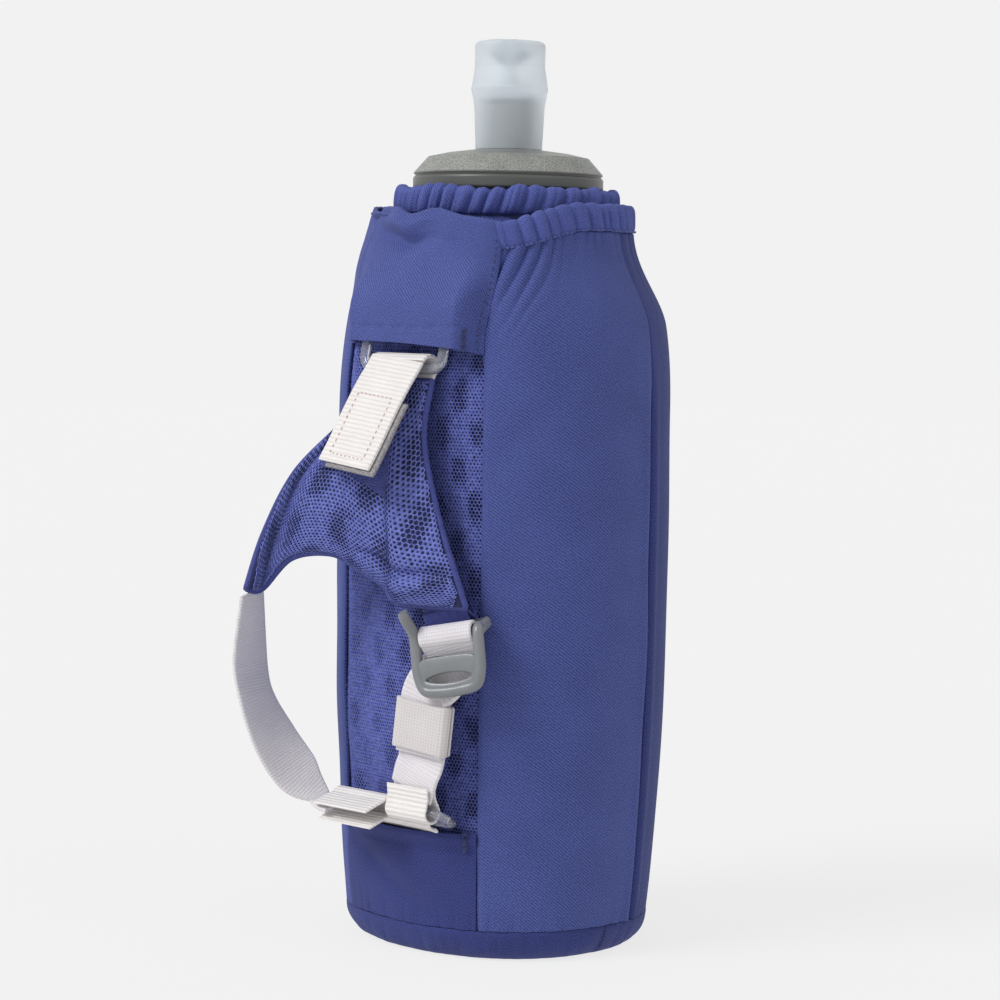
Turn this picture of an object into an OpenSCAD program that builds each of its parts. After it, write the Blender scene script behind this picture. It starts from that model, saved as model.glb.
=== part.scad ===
// Soft flask with a bite valve, in a stretch-cloth running sleeve with a padded hand strap.
// Millimetres. Z is up, the front with the hand strap faces -Y, and the origin is the middle of the base.

/* [Sleeve] */
// Width of the sleeve at its widest, side to side
sleeve_w = 89; // [85:1:97]
// Depth of the sleeve at its widest, front to back
sleeve_d = 81; // [78:1:90]
// Height of the top of the outer walls, where the pocket hem starts
wall_h = 184.5; // [180:0.5:190]
// Height of the seam between the walls and the base
base_seam_h = 8; // [6:0.5:11]
// How far the underside of the base is set in from its seam
base_inset = 6; // [3:0.5:8]
// Thickness of the woven outer cloth
cloth_t = 1; // [0.8:0.1:1.3]
// Thickness of the knitted mesh in the front window
mesh_t = 0.8; // [0.6:0.1:1]
// Thickness of the inner liner
liner_t = 0.8; // [0.6:0.1:1]
// Depth of the room between the outer cloth and the mesh behind it
pocket_room = 2.8; // [2.6:0.1:3.6]
// Half width of the front panel between its two side seams
seam_x = 23; // [20:0.5:26]
// Half width of the front panel on the strap's side, where the pocket starts
pocket_seam_x = 26.5; // [24:0.5:29]
// Radius that the elastic draws the pocket in to at its top
pocket_r = 33.6; // [33.4:0.1:35]
// How far the loose yoke puffs out at its top
yoke_puff = 3.4; // [1:0.1:4]
// Height of the upper edge of the mesh window
window_top = 158; // [154:1:161]
// Height of the lower edge of the mesh window
window_bottom = 33; // [29:1:35]
// Sewing gap between neighbouring panels
seam_gap = 0.15; // [0.1:0.05:0.3]

/* [Hems] */
// Height of each elastic hem
hem_h = 7.4; // [6.5:0.1:9]
// Thickness of each elastic hem across its two cloth layers
hem_t = 3.6; // [3.4:0.1:4.4]
// Thickness of the cloth that a hem is folded from
hem_cloth = 0.7; // [0.5:0.1:0.9]
// Outer radius of the neck hem
neck_hem_r = 29.6; // [29.2:0.1:30.6]
// Height of the neck hem above the top of the outer walls
neck_rise = 7.1; // [6.4:0.1:8.4]
// Height of the elastic band inside a hem
elastic_h = 4.6; // [3.5:0.1:5.4]

/* [Flask] */
// Thickness of the flask's flexible film
film_t = 0.8; // [0.5:0.1:1]
// Clearance between the film and the liner
film_clear = 0.6; // [0.4:0.1:1.2]
// Radius of the flask's mouth
mouth_r = 17.2; // [15:0.1:17.6]
// Wall of the threaded neck
neck_wall = 2; // [1.6:0.1:2.4]
// Height of the threaded neck above its ring
neck_h = 6; // [5.6:0.1:7]
// Radius of the grey ring round the neck
ring_r = 24.7; // [24:0.1:25.2]
// Height of the grey ring round the neck
ring_h = 4.8; // [4:0.1:6]
// Radial depth of the screw threads
thread_d = 1.1; // [0.9:0.05:1.2]
// Width of a thread's ridge along the axis
thread_w = 1; // [0.8:0.1:1.1]
// Rise of the thread in one turn
thread_pitch = 3.2; // [3:0.1:3.6]
// Thickness of the silicone seal in the cap
seal_t = 0.8; // [0.6:0.1:1]

/* [Cap and valve] */
// Largest radius of the screw cap
cap_r = 25.2; // [25:0.1:27]
// Height of the smooth grip band at the foot of the cap
band_h = 3.9; // [3.4:0.1:4.4]
// Radius of the shoulder between the cap's slope and its dome
shoulder_r = 21.3; // [20.8:0.1:22]
// Height of the cap's sloping band
slope_h = 4.6; // [4.4:0.1:5.5]
// Rise of the dome from the shoulder to the spout
dome_h = 2; // [1.6:0.1:3]
// Outer radius of the spout that carries the bite valve
spout_r = 6.6; // [6:0.1:7]
// Bore radius of the spout
spout_bore = 4.6; // [4:0.1:5]
// Height of the spout above the dome
spout_h = 13.4; // [11:0.1:14]
// Radius of the bite valve at its foot
valve_r = 8.8; // [8.6:0.1:9.6]
// How much the valve's grip bead stands out
valve_bead = 1.4; // [1:0.1:2]
// Height of the bite valve
valve_h = 28.4; // [27:0.2:32]
// Sliding clearance between the valve and the spout
valve_clear = 0.1; // [0.05:0.05:0.2]

/* [Strap] */
// Width of the grosgrain ribbon
ribbon_w = 20; // [18:0.5:22]
// Thickness of the grosgrain ribbon
ribbon_t = 1.1; // [0.8:0.1:1.3]
// Width of the elastic strap
elastic_w = 15; // [13:0.5:16]
// Thickness of the elastic strap
elastic_t = 1.2; // [1:0.1:1.5]
// Thickness of the hand pad's foam
foam_t = 1.8; // [1.4:0.1:2.4]
// Thickness of each of the pad's two faces
face_t = 0.7; // [0.5:0.1:0.9]
// How far the hand pad stands off the sleeve
pad_out = 25.6; // [23:0.2:28]
// Height of the hand pad from its top edge to its left tip
pad_h = 53; // [50:1:56]
// Length of the pull tab's flap
flap_len = 30; // [26:1:32]
// Thickness of each half of the touch fastener
fastener_t = 1.3; // [1:0.1:1.4]
// Height of the elastic keeper on the right strap
keeper_h = 12.8; // [11:0.2:13.4]
// Wall of the keeper
keeper_t = 0.8; // [0.7:0.1:1.1]

/* [Plastic hardware] */
// Thickness of the clear rings
clear_t = 2.2; // [1.8:0.1:2.4]
// Width of a clear ring's side bars
clear_side = 3; // [2.4:0.1:3.6]
// Distance between the upper ring's two bars
clear_drop = 11.6; // [10.6:0.1:13]
// Height of a clear ring's outer bar
clear_bar = 2.8; // [2.4:0.1:3.4]
// Side play of a ribbon inside its ring
ring_play = 2.9; // [2:0.1:4]
// Radius of the round bar that the strap wraps in the buckle
buckle_bar_r = 1.6; // [1.3:0.1:1.8]
// Thickness of the buckle's two cheeks
cheek_t = 2.1; // [1.8:0.1:2.6]
// Distance from the strap bar to the foot of the buckle
buckle_drop = 13.4; // [12:0.2:15]
// Running clearance between straps and hardware
play = 0.3; // [0.2:0.05:0.4]

/* [Hidden] */
$fn = 72;
SMALL_FN = 32;

// Section of the sleeve: an oval with squared sides
oval_power = 2.2;
ring_points = 48;
// Share that the width loses towards the base, and the height below which it starts
base_taper = 0.1;
waist_z = 90;
// Share that the width loses towards the neck, and the height above which it starts
neck_taper = 0.2;
shoulder_z = 140;
taper_top_z = 190;

half_w = sleeve_w / 2;
half_d = sleeve_d / 2;

// Depths below the outer face of the sleeve, layer by layer
mesh_depth = cloth_t + pocket_room;
layer_gap = 0.3;
liner_depth = mesh_depth + mesh_t + layer_gap;
film_depth = liner_depth + liner_t + film_clear;
floor_t = 1.6;

neck_hem_top = wall_h + hem_h + neck_rise;
neck_hem_bottom = neck_hem_top - hem_h;
neck_hem_mid_r = neck_hem_r - hem_t / 2;

// Flask and cap heights
ring_bottom = neck_hem_top - 6;
ring_top = ring_bottom + ring_h;
neck_r = mouth_r + neck_wall;
neck_top = ring_top + neck_h;
weld_bottom = neck_hem_bottom - 6;
weld_top = neck_hem_bottom - 1;
weld_gap = 0.1;
cap_foot = ring_top + 0.2;
thread_gap = 0.6;
cap_inner_r = neck_r + thread_d + thread_gap;
groove_h = 0.4;
groove_d = 0.6;
slope_foot = cap_foot + band_h + groove_h;
cap_shoulder = slope_foot + slope_h;
seal_gap = 0.1;
cap_ceiling = neck_top + seal_t + 2 * seal_gap;
dome_top = cap_shoulder + dome_h;
spout_top = dome_top + spout_h;
valve_foot = dome_top + 0.2;
valve_top = valve_foot + valve_h;

function mix(a, b, t) = a + (b - a) * t;
function ease(t) = let (c = min(1, max(0, t))) c * c * (3 - 2 * c);
function signed_power(v, p) = sign(v) * pow(abs(v), p);
function unit(v) = v / norm(v);

// Share of the full width that the sleeve has at height z
function girth(z) = 1
    - base_taper * pow(max(0, waist_z - z) / waist_z, 2)
    - neck_taper * pow(max(0, z - shoulder_z) / (taper_top_z - shoulder_z), oval_power);

// Point of the oval with half axes w and d, at turn a and height z
function oval_point(a, w, d, z) = [w * signed_power(cos(a), 2 / oval_power),
                                   d * signed_power(sin(a), 2 / oval_power), z];

// Share of the pocket's draw at turn a and height z: none at the front, all of it round the back
function around_back(a) = let (t = (a + 720) % 360) t > 270 ? ease((t - 302) / 50) : t > 120 ? ease((181 - t) / 50) : 1;
function drawn(a, z) = around_back(a) * ease((z - 163) / 28);
// How far the loose yoke puffs out at turn a and height z
function puffed(a, z) = yoke_puff * (1 - around_back(a)) * ease((z - 168) / 26);

// Point of the sleeve's outer face at turn a and height z, sunk inwards by depth
function sleeve_point(a, z, depth = 0) = let (sink = depth - puffed(a, z))
    mix(oval_point(a, half_w * girth(z) - sink, half_d * girth(z) - sink, z),
        [(pocket_r - depth) * cos(a), (pocket_r - depth) * sin(a), z], drawn(a, z));

// Turn at which the oval reaches x on the front or back half
function turn_at(x) = acos(pow(x / half_w, oval_power / 2));
seam_turn = turn_at(seam_x);
right_seam = 360 - turn_at(pocket_seam_x);
// The strap-side seam leans back above the mesh window
function right_seam_at(z) = right_seam + 6 * ease((z - window_top) / 26);
left_seam = 180 + seam_turn;
// Angle that a sewing gap takes on the oval
gap_turn = seam_gap / half_w * 57.3;

// Y of the sleeve's outer face at x, on the front half
function front_y(x, z, depth = 0) =
    -(half_d * girth(z) - depth) * pow(1 - pow(abs(x) / (half_w * girth(z)), oval_power), 1 / oval_power);

// Splits a quad into two triangles
function quad(a, b, c, d) = [[a, b, c], [a, c, d]];

// Closed solid between two grids of points, face outside and back inside.
// Rows of a grid follow each other so that row step x column step points out of the face.
module slab(face, back, wrap = false) {
    rows = len(face);
    columns = len(face[0]);
    count = rows * columns;
    last = wrap ? rows - 1 : rows - 2;
    function f(i, j) = (i % rows) * columns + j;
    function b(i, j) = f(i, j) + count;
    skins = [for (i = [0 : last], j = [0 : columns - 2])
        each concat(quad(f(i, j), f(i, j + 1), f(i + 1, j + 1), f(i + 1, j)),
                    quad(b(i, j), b(i + 1, j), b(i + 1, j + 1), b(i, j + 1)))];
    long_rims = [for (i = [0 : last])
        each concat(quad(f(i, 0), f(i + 1, 0), b(i + 1, 0), b(i, 0)),
                    quad(f(i + 1, columns - 1), f(i, columns - 1), b(i, columns - 1), b(i + 1, columns - 1)))];
    end_rims = wrap ? [] : [for (j = [0 : columns - 2])
        each concat(quad(f(0, j + 1), f(0, j), b(0, j), b(0, j + 1)),
                    quad(f(rows - 1, j), f(rows - 1, j + 1), b(rows - 1, j + 1), b(rows - 1, j)))];
    polyhedron(points = concat([for (r = face) each r], [for (r = back) each r]),
               faces = concat(skins, long_rims, end_rims), convexity = 8);
}

// Closed solid through a stack of closed loops of points, flat at its first and last loop
module stack(loops) {
    rows = len(loops);
    columns = len(loops[0]);
    function p(k, i) = k * columns + i % columns;
    walls = [for (k = [0 : rows - 2], i = [0 : columns - 1])
        each quad(p(k, i), p(k + 1, i), p(k + 1, i + 1), p(k, i + 1))];
    polyhedron(points = [for (r = loops) each r],
               faces = concat(walls, [[for (i = [0 : columns - 1]) i]],
                              [[for (i = [columns - 1 : -1 : 0]) (rows - 1) * columns + i]]),
               convexity = 8);
}

// Loop of the oval with half axes w and d at height z
function oval_loop(w, d, z) = [for (i = [0 : ring_points - 1]) oval_point(i * 360 / ring_points, w, d, z)];

// Panel of the sleeve between two turns and two heights, t thick, its face sunk by depth
module wall_panel(a0, a1, z0, z1, t, depth, steps, rows) {
    function grid(sink) = [for (i = [0 : steps])
        [for (j = [0 : rows]) sleeve_point(mix(a0, a1, i / steps), mix(z0, z1, j / rows), sink)]];
    slab(grid(depth), grid(depth + t));
}

// Ribbon along a path: side gives its width direction at each point, and w one width or one for each point
module ribbon(path, side, w, t) {
    last = len(path) - 1;
    function heading(i) = unit(path[min(last, i + 1)] - path[max(0, i - 1)]);
    function half(i) = (is_list(w) ? w[i] : w) / 2;
    function grid(lift) = [for (i = [0 : last]) let (s = unit(side[i]), n = unit(cross(heading(i), s)))
        [for (k = [-1, 1]) path[i] + n * lift + s * k * half(i)]];
    slab(grid(t / 2), grid(-t / 2));
}

// Smooth curve through points, with a number of steps for each span
function knot(p, i) = p[min(len(p) - 1, max(0, i))];
function spline_at(p, i, t) =
    let (a = knot(p, i - 1), b = knot(p, i), c = knot(p, i + 1), d = knot(p, i + 2))
    b + (c - a) * t / 2 + (a - 2.5 * b + 2 * c - d / 2) * t * t + (-a / 2 + 1.5 * b - 1.5 * c + d / 2) * t * t * t;
function spline(p, steps) = concat(
    [for (i = [0 : len(p) - 2], k = [0 : steps - 1]) spline_at(p, i, k / steps)], [p[len(p) - 1]]);

// Arc in the YZ plane, about centre c with radius r, from angle a0 to a1, at x
function arc_yz(c, r, a0, a1, steps, x = 0) = [for (k = [0 : steps])
    let (a = mix(a0, a1, k / steps)) [x, c[0] + r * cos(a), c[1] + r * sin(a)]];

// ---- Flask ----

function film_w(z) = half_w * girth(z) - film_depth;
function film_d(z) = half_d * girth(z) - film_depth;
film_foot = floor_t + 0.4;
film_corner = 10;
film_shoulder = shoulder_z + 16;
weld_r = neck_r + 1.2;

// Half axis of the film at height z, where full is its half axis without corner and shoulder
function film_axis(full, z, sink) =
    let (foot = max(0, 1 - (z - film_foot) / film_corner), rise = ease((z - film_shoulder) / (weld_bottom - film_shoulder)))
    mix(full - film_corner * (1 - sqrt(max(0, 1 - foot * foot))), weld_r + weld_gap + film_t, rise) - sink;

film_heights = concat([for (k = [0 : 4]) film_foot + film_corner * (1 - cos(k * 22.5))],
                      [for (k = [1 : 4]) mix(film_foot + film_corner, film_shoulder, k / 4)],
                      [for (k = [1 : 5]) mix(film_shoulder, weld_bottom, k / 5)], [weld_top]);

module flask_film() {
    last = len(film_heights) - 1;
    function loop(z, sink) = oval_or_round(film_axis(film_w(z), z, sink), film_axis(film_d(z), z, sink), z);
    color("lightsteelblue")
        stack(concat([for (k = [0 : last]) loop(film_heights[k], 0)],
                     [for (k = [last : -1 : 1]) loop(film_heights[k], film_t)],
                     [loop(film_foot + film_t, film_t)]));
}

// Loop that turns from the sleeve's oval into a circle between the film's shoulder and its weld
function oval_or_round(w, d, z) =
    let (power = mix(oval_power, 2, ease((z - film_shoulder) / (weld_bottom - film_shoulder))))
    [for (i = [0 : ring_points - 1]) let (a = i * 360 / ring_points)
        [w * signed_power(cos(a), 2 / power), d * signed_power(sin(a), 2 / power), z]];

// One helical ridge, rooted at radius r and reaching out by depth, which is negative for an inner thread
module thread_ridge(r, depth, z0, a0, a1) {
    root = 0.3 * sign(depth);
    turns = (a1 - a0) / 360;
    steps = round(turns * 36);
    tip_w = thread_w * 0.5;
    function corner(a, z) = [[r - root, -thread_w / 2], [r + depth, -tip_w / 2], [r + depth, tip_w / 2], [r - root, thread_w / 2]];
    loops = [for (k = [0 : steps]) let (a = mix(a0, a1, k / steps), z = z0 + thread_pitch * a / 360)
        [for (c = depth < 0 ? corner(a, z) : [for (i = [3 : -1 : 0]) corner(a, z)[i]])
            [c[0] * cos(a), c[0] * sin(a), z + c[1]]]];
    stack(loops);
}

neck_thread_z = ring_top + 1.5;
neck_thread_turn = 430;

module neck_collar() color("dimgray") union() {
    rotate_extrude() {
        // Weld skirt inside the film, the grey ring and the threaded neck, on one mouth
        difference() {
            union() {
                translate([mouth_r, weld_bottom]) square([weld_r - mouth_r, ring_bottom - weld_bottom + 0.5]);
                translate([mouth_r, ring_bottom]) square([ring_r - mouth_r - 1, ring_h]);
                translate([mouth_r, ring_bottom + 1]) square([ring_r - mouth_r, ring_h - 2]);
                for (z = [ring_bottom + 1, ring_top - 1]) translate([ring_r - 1, z]) circle(r = 1, $fn = SMALL_FN);
                translate([mouth_r, ring_top - 0.5]) square([neck_r - mouth_r, neck_h + 0.5]);
            }
        }
    }
    thread_ridge(neck_r, thread_d, neck_thread_z, 0, neck_thread_turn);
}

module cap_seal() color("whitesmoke") rotate_extrude()
    translate([mouth_r + 0.3, neck_top + seal_gap]) square([neck_wall + thread_d - 0.3, seal_t]);

module screw_cap() color("gray") union() {
    rotate_extrude() difference() {
        union() {
            // Grip band with rounded edges
            translate([0, cap_foot]) square([cap_r - band_h / 4, band_h]);
            translate([0, cap_foot + band_h / 4]) square([cap_r, band_h / 2]);
            for (z = [cap_foot + band_h / 4, cap_foot + 3 * band_h / 4])
                translate([cap_r - band_h / 4, z]) circle(r = band_h / 4, $fn = SMALL_FN);
            // Slope and dome above the groove
            polygon([[0, cap_foot + band_h - 0.3], [cap_r - groove_d, cap_foot + band_h - 0.3],
                     [cap_r - groove_d, slope_foot], [cap_r - 0.2, slope_foot], [cap_r - 0.2, slope_foot + 0.4],
                     [shoulder_r, cap_shoulder], [shoulder_r - 5, cap_shoulder + dome_h * 0.55],
                     [valve_r + 0.7, dome_top], [0, dome_top]]);
            translate([0, dome_top - 0.5]) square([spout_r, spout_h + 0.5]);
        }
        translate([-1, cap_foot - 1]) square([cap_inner_r + 1, cap_ceiling - cap_foot + 1]);
        translate([-1, cap_foot - 1]) square([spout_bore + 1, spout_top - cap_foot + 2]);
    }
    thread_ridge(cap_inner_r, -thread_d, neck_thread_z - thread_pitch / 2, 90, 400);
}

// Bite valve: a thick sheath over the spout, with a waisted duct above it and a slit in its lip
lip_t = 2.4;
duct_waist = 1.3;
slit = [6.5, 0.5];

module bite_valve() {
    bore = spout_r + valve_clear;
    top_r = valve_r + 0.5;
    bead_z = valve_foot + valve_h * 0.56;
    edge = 1.4;
    color("aliceblue") difference() {
        rotate_extrude() difference() {
            union() {
                polygon([[0, valve_foot], [valve_r, valve_foot], [valve_r + 0.5, bead_z - 4.5],
                         [valve_r + valve_bead - 0.2, bead_z - 0.8], [valve_r + valve_bead, bead_z],
                         [valve_r + valve_bead - 0.2, bead_z + 0.8], [top_r, bead_z + 5.4],
                         [top_r, valve_top - edge], [0, valve_top - edge]]);
                translate([0, valve_top - edge]) square([top_r - edge, edge]);
                translate([top_r - edge, valve_top - edge]) circle(r = edge, $fn = SMALL_FN);
            }
            polygon([[0, valve_foot - 1], [bore, valve_foot - 1], [bore, spout_top + 0.8],
                     [bore - 1.2, spout_top + 2], [duct_waist + 0.9, mix(spout_top, valve_top, 0.3)],
                     [duct_waist, mix(spout_top, valve_top, 0.5)], [duct_waist + 1, mix(spout_top, valve_top, 0.62)],
                     [valve_r - 4.4, valve_top - lip_t - 1.2], [valve_r - 3.8, valve_top - lip_t], [0, valve_top - lip_t]]);
        }
        translate([0, 0, valve_top - lip_t / 2]) cube([slit[0], slit[1], lip_t + 1], center = true);
    }
}

// ---- Sleeve ----

liner_neck_z = wall_h - 22;

// Liner's half axis at height z: it follows the sleeve and then draws in to the neck hem
function liner_axis(full, z, sink) =
    mix(full * girth(z) - liner_depth, neck_hem_mid_r + liner_t / 2,
        ease((z - liner_neck_z) / (neck_hem_bottom - liner_neck_z))) - sink;

function rounding_point(a, w, d, z) = let (power = mix(oval_power, 2, ease((z - liner_neck_z) / 16)))
    [w * signed_power(cos(a), 2 / power), d * signed_power(sin(a), 2 / power), z];

module liner() {
    rows = 11;
    foot = base_seam_h + seam_gap;
    top = neck_hem_bottom - seam_gap;
    function grid(sink) = [for (i = [0 : ring_points - 1])
        [for (j = [0 : rows]) let (z = mix(foot, top, j / rows))
            rounding_point(i * 360 / ring_points, liner_axis(half_w, z, sink), liner_axis(half_d, z, sink), z)]];
    color("midnightblue") slab(grid(0), grid(liner_t), wrap = true);
}

// Folded hem in section: two cloth layers over the top of an elastic band, open at the foot
module hem_section(mid_r, bottom) translate([mid_r, bottom]) difference() {
    union() {
        translate([-hem_t / 2, 0]) square([hem_t, hem_h - hem_t / 2]);
        translate([0, hem_h - hem_t / 2]) circle(d = hem_t, $fn = SMALL_FN);
    }
    translate([-hem_t / 2 + hem_cloth, -1]) square([hem_t - 2 * hem_cloth, hem_h - hem_t / 2 + 1]);
    translate([0, hem_h - hem_t / 2]) circle(d = hem_t - 2 * hem_cloth, $fn = SMALL_FN);
}

elastic_room = hem_t / 2 - hem_cloth - 0.2;

module neck_hem() color("royalblue") rotate_extrude() hem_section(neck_hem_mid_r, neck_hem_bottom);

module neck_elastic() color("ivory") rotate_extrude()
    translate([neck_hem_mid_r - elastic_room, neck_hem_bottom + (hem_h - elastic_h) / 2])
        square([2 * elastic_room, elastic_h]);

// Front yoke: its lower part swells out over the clear ring and its ribbon
function yoke_swell(p) = let (room = pin_wrap + anchor_t + play + cloth_t + 0.3, ring_reach = ring_inner_w / 2 + clear_side + 0.4)
    [0, -max(0, p[1] - (ring_pivot[0] - room)) * (1 - ease((abs(p[0] - ring_x) - ring_reach) / 6)) * (1 - ease((p[2] - window_top - 7) / 16)), 0];
yoke_rise = 3;
// The pocket's mouth dips by this much at the strap-side seam and stands up by as much behind
pocket_dip = 2.8;
function mouth_z(a) = wall_h - pocket_dip + 2 * pocket_dip * ease((a + 720 - right_seam) % 360 / 50);

module front_yoke() {
    steps = 14;
    rows = 10;
    function grid(sink) = [for (i = [0 : steps]) [for (j = [0 : rows])
        let (z = mix(window_top, wall_h + hem_h + yoke_rise - (yoke_rise + pocket_dip) * i / steps, j / rows),
             a = mix(left_seam + gap_turn, right_seam_at(z) - gap_turn, i / steps))
            sleeve_point(a, z, sink) + yoke_swell(sleeve_point(a, z))]];
    color("mediumslateblue") slab(grid(0), grid(cloth_t));
}

// The mesh runs on behind the yoke and the lower panel, where they are sewn together
mesh_tuck = 2;
module mesh_window() color("slateblue")
    wall_panel(left_seam + gap_turn, right_seam - gap_turn, window_bottom - mesh_tuck, window_top + mesh_tuck,
               mesh_t, mesh_depth, 14, 18);

module lower_panel() color("mediumslateblue")
    wall_panel(left_seam + gap_turn, right_seam - gap_turn, base_seam_h + seam_gap, window_bottom,
               cloth_t, 0, 14, 4);

// The side walls end in a pleat at the middle of each side
pleat_turn = 2;

module side_panel_right() {
    foot = base_seam_h + seam_gap;
    function grid(sink) = [for (i = [0 : 12]) [for (j = [0 : 16])
        let (z = mix(foot, mouth_z(mix(right_seam_at(wall_h), 360 + pleat_turn, i / 12)), j / 16))
            sleeve_point(mix(right_seam_at(z) + 2 * gap_turn, 360 + pleat_turn, i / 12), z, sink)]];
    color("royalblue") slab(grid(0), grid(cloth_t));
}

module side_panel_left() color("royalblue")
    wall_panel(180 - pleat_turn, left_seam, base_seam_h + seam_gap, wall_h + hem_h + yoke_rise, cloth_t, 0, 12, 17);

module back_panel() {
    foot = base_seam_h + seam_gap;
    function grid(sink) = [for (i = [0 : 28]) let (a = mix(pleat_turn + gap_turn, 180 - pleat_turn - gap_turn, i / 28))
        [for (j = [0 : 16]) sleeve_point(a, mix(foot, mouth_z(a), j / 16), sink)]];
    color("darkslateblue") slab(grid(0), grid(cloth_t));
}

// The pocket hem runs from the right seam round the back to the left pleat
pocket_start = right_seam_at(wall_h) - 360 + gap_turn;
pocket_end = 180 - pleat_turn - gap_turn;

module pocket_hem() {
    steps = 44;
    arch = hem_h - hem_t / 2;
    // Section from the inner foot over the top to the outer foot, as depth and height pairs
    function fold(r) = concat([[hem_t / 2 + r, 0]],
        [for (k = [0 : 6]) [hem_t / 2 + r * cos(k * 30), arch + r * sin(k * 30)]], [[hem_t / 2 - r, 0]]);
    function grid(r) = [for (i = [0 : steps]) let (a = mix(pocket_start, pocket_end, i / steps))
        [for (p = fold(r)) let (q = sleeve_point(a, wall_h, p[0])) [q[0], q[1], mouth_z(a) + seam_gap + p[1]]]];
    function flip(g) = [for (r = g) [for (j = [len(r) - 1 : -1 : 0]) r[j]]];
    color("royalblue") slab(flip(grid(hem_t / 2)), flip(grid(hem_t / 2 - hem_cloth)));
}

module pocket_elastic() {
    foot = seam_gap + (hem_h - elastic_h) / 2;
    steps = 44;
    function grid(sink) = [for (i = [0 : steps]) let (a = mix(pocket_start, pocket_end, i / steps))
        [for (z = [foot, foot + elastic_h]) let (q = sleeve_point(a, wall_h, sink)) [q[0], q[1], mouth_z(a) + z]]];
    color("ivory") slab(grid(hem_t / 2 - elastic_room), grid(hem_t / 2 + elastic_room));
}

// Base: a flat floor with a rounded edge up to the seam, and a lip that the liner stands on
module base_panel() {
    steps = 5;
    function shrink(k) = base_inset * (1 - sin(k * 90 / steps));
    function loop(sink, z) =
        oval_loop(half_w * girth(base_seam_h) - sink, half_d * girth(base_seam_h) - sink, z);
    lip = liner_depth + liner_t;
    color("slateblue") stack(concat(
        [for (k = [0 : steps]) loop(shrink(k), base_seam_h * (1 - cos(k * 90 / steps)))],
        [loop(lip, base_seam_h), loop(lip + 0.5, floor_t + 3), loop(lip + 2.5, floor_t)]));
}

// ---- Rings and ribbons at the top of the strap ----

ring_lean = 11.5;
ring_x = 3;
pin_w = 2.4;
pin_wrap = norm([clear_t, pin_w]) / 2 + play / 2;
bar_wrap = norm([clear_t, clear_bar]) / 2 + play / 2;
anchor_t = 0.7;
ring_pivot = [front_y(0, window_top + 5, mesh_depth - pin_wrap - anchor_t - 0.3), window_top + 5];
ring_bar = ring_pivot + clear_drop * [-sin(ring_lean), -cos(ring_lean)];
ring_inner_w = ribbon_w + 2 * ring_play;

// Rounded rectangle of exact arcs, with its middle at the origin
module rounded(w, h, r) {
    square([w - 2 * r, h], center = true);
    square([w, h - 2 * r], center = true);
    for (x = [-1, 1], y = [-1, 1]) translate([x * (w / 2 - r), y * (h / 2 - r)]) circle(r = r, $fn = SMALL_FN);
}

// Flat ring whose first bar runs along the X axis and whose second lies drop below it
module clear_ring(inner_w, drop, bar, corner) {
    linear_extrude(clear_t, center = true) translate([0, -drop / 2]) difference() {
        translate([0, (pin_w - bar) / 4]) rounded(inner_w + 2 * clear_side, drop + (pin_w + bar) / 2, corner + 1.4);
        translate([0, (bar - pin_w) / 4]) rounded(inner_w, drop - (pin_w + bar) / 2, corner);
    }
}

module upper_ring() color("gainsboro")
    translate([ring_x, ring_pivot[0], ring_pivot[1]]) rotate([90 - ring_lean, 0, 0])
        clear_ring(ring_inner_w, clear_drop, clear_bar, 3.2);

// Ribbon that holds the ring: down behind its pin, under it and up again into the yoke
module ring_anchor() {
    r = pin_wrap + anchor_t / 2;
    top = ring_pivot[1] + 10;
    mid = (front_y(0, top, cloth_t) + front_y(0, top, liner_depth)) / 2;
    path = concat([[0, mid + anchor_t / 2 + 0.05, top]],
                  arc_yz(ring_pivot, r, 0, -180, 10),
                  [[0, mid - anchor_t / 2 - 0.05, top]]);
    color("whitesmoke") translate([ring_x, 0, 0]) ribbon(path, [for (p = path) [-1, 0, 0]], ribbon_w, anchor_t);
}

// Pull tab: up from the pad, over the ring's lower bar and down the front as a flap
tab_x = 4;
flap_slope = 30;
flap_skew = -3.2;
flap_turn = atan(-flap_skew / flap_len);
loop_r = 2.7 + ribbon_t / 2;
flap_root = ring_bar + loop_r * [-cos(flap_slope), sin(flap_slope)];
flap_way = [-sin(flap_slope), -cos(flap_slope)];
flap_normal = [-cos(flap_slope), sin(flap_slope)];
pad_top = ring_bar[1] - 3.2;
pad_root_y = ring_bar[0] + 0.3;
flap_gap = 0.75;

// Straight strip that follows the flap, offset out from its middle and between two distances from its root
module on_flap(w, t, out, from, to) {
    c = flap_root + out * flap_normal;
    reach = [for (k = [0 : 5]) mix(from, to, k / 5)];
    function bent(s) = flap_turn * min(1, s / 12);
    path = [for (s = reach) let (p = c + s * flap_way) [tab_x + flap_skew * s / flap_len, p[0], p[1]]];
    ribbon(path, [for (s = reach) [-cos(bent(s)), -sin(bent(s)) * flap_way[0], -sin(bent(s)) * flap_way[1]]], w, t);
}

module tab_loop() {
    arc = arc_yz(ring_bar, loop_r, 0, 180 - flap_slope - flap_gap * 57.3 / loop_r, 12, tab_x);
    path = concat([[tab_x, pad_root_y + 0.4, pad_top + 0.3]], arc);
    color("white") ribbon(path, [for (p = path) [-1, 0, 0]], ribbon_w, ribbon_t);
}

module tab_flap() color("white") union() {
    on_flap(ribbon_w, ribbon_t, 0, ribbon_t * 0.2, flap_len);
    translate([tab_x, flap_root[0], flap_root[1]]) rotate([0, 90, 0])
        cylinder(d = ribbon_t, h = ribbon_w, center = true, $fn = SMALL_FN);
}

patch_start = 10;
patch_w = ribbon_w - 0.8;
module hook_patch() color("dimgray")
    on_flap(patch_w, fastener_t, -(ribbon_t + fastener_t) / 2 - 0.1, patch_start, flap_len + 1);

// ---- Hand pad ----

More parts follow.
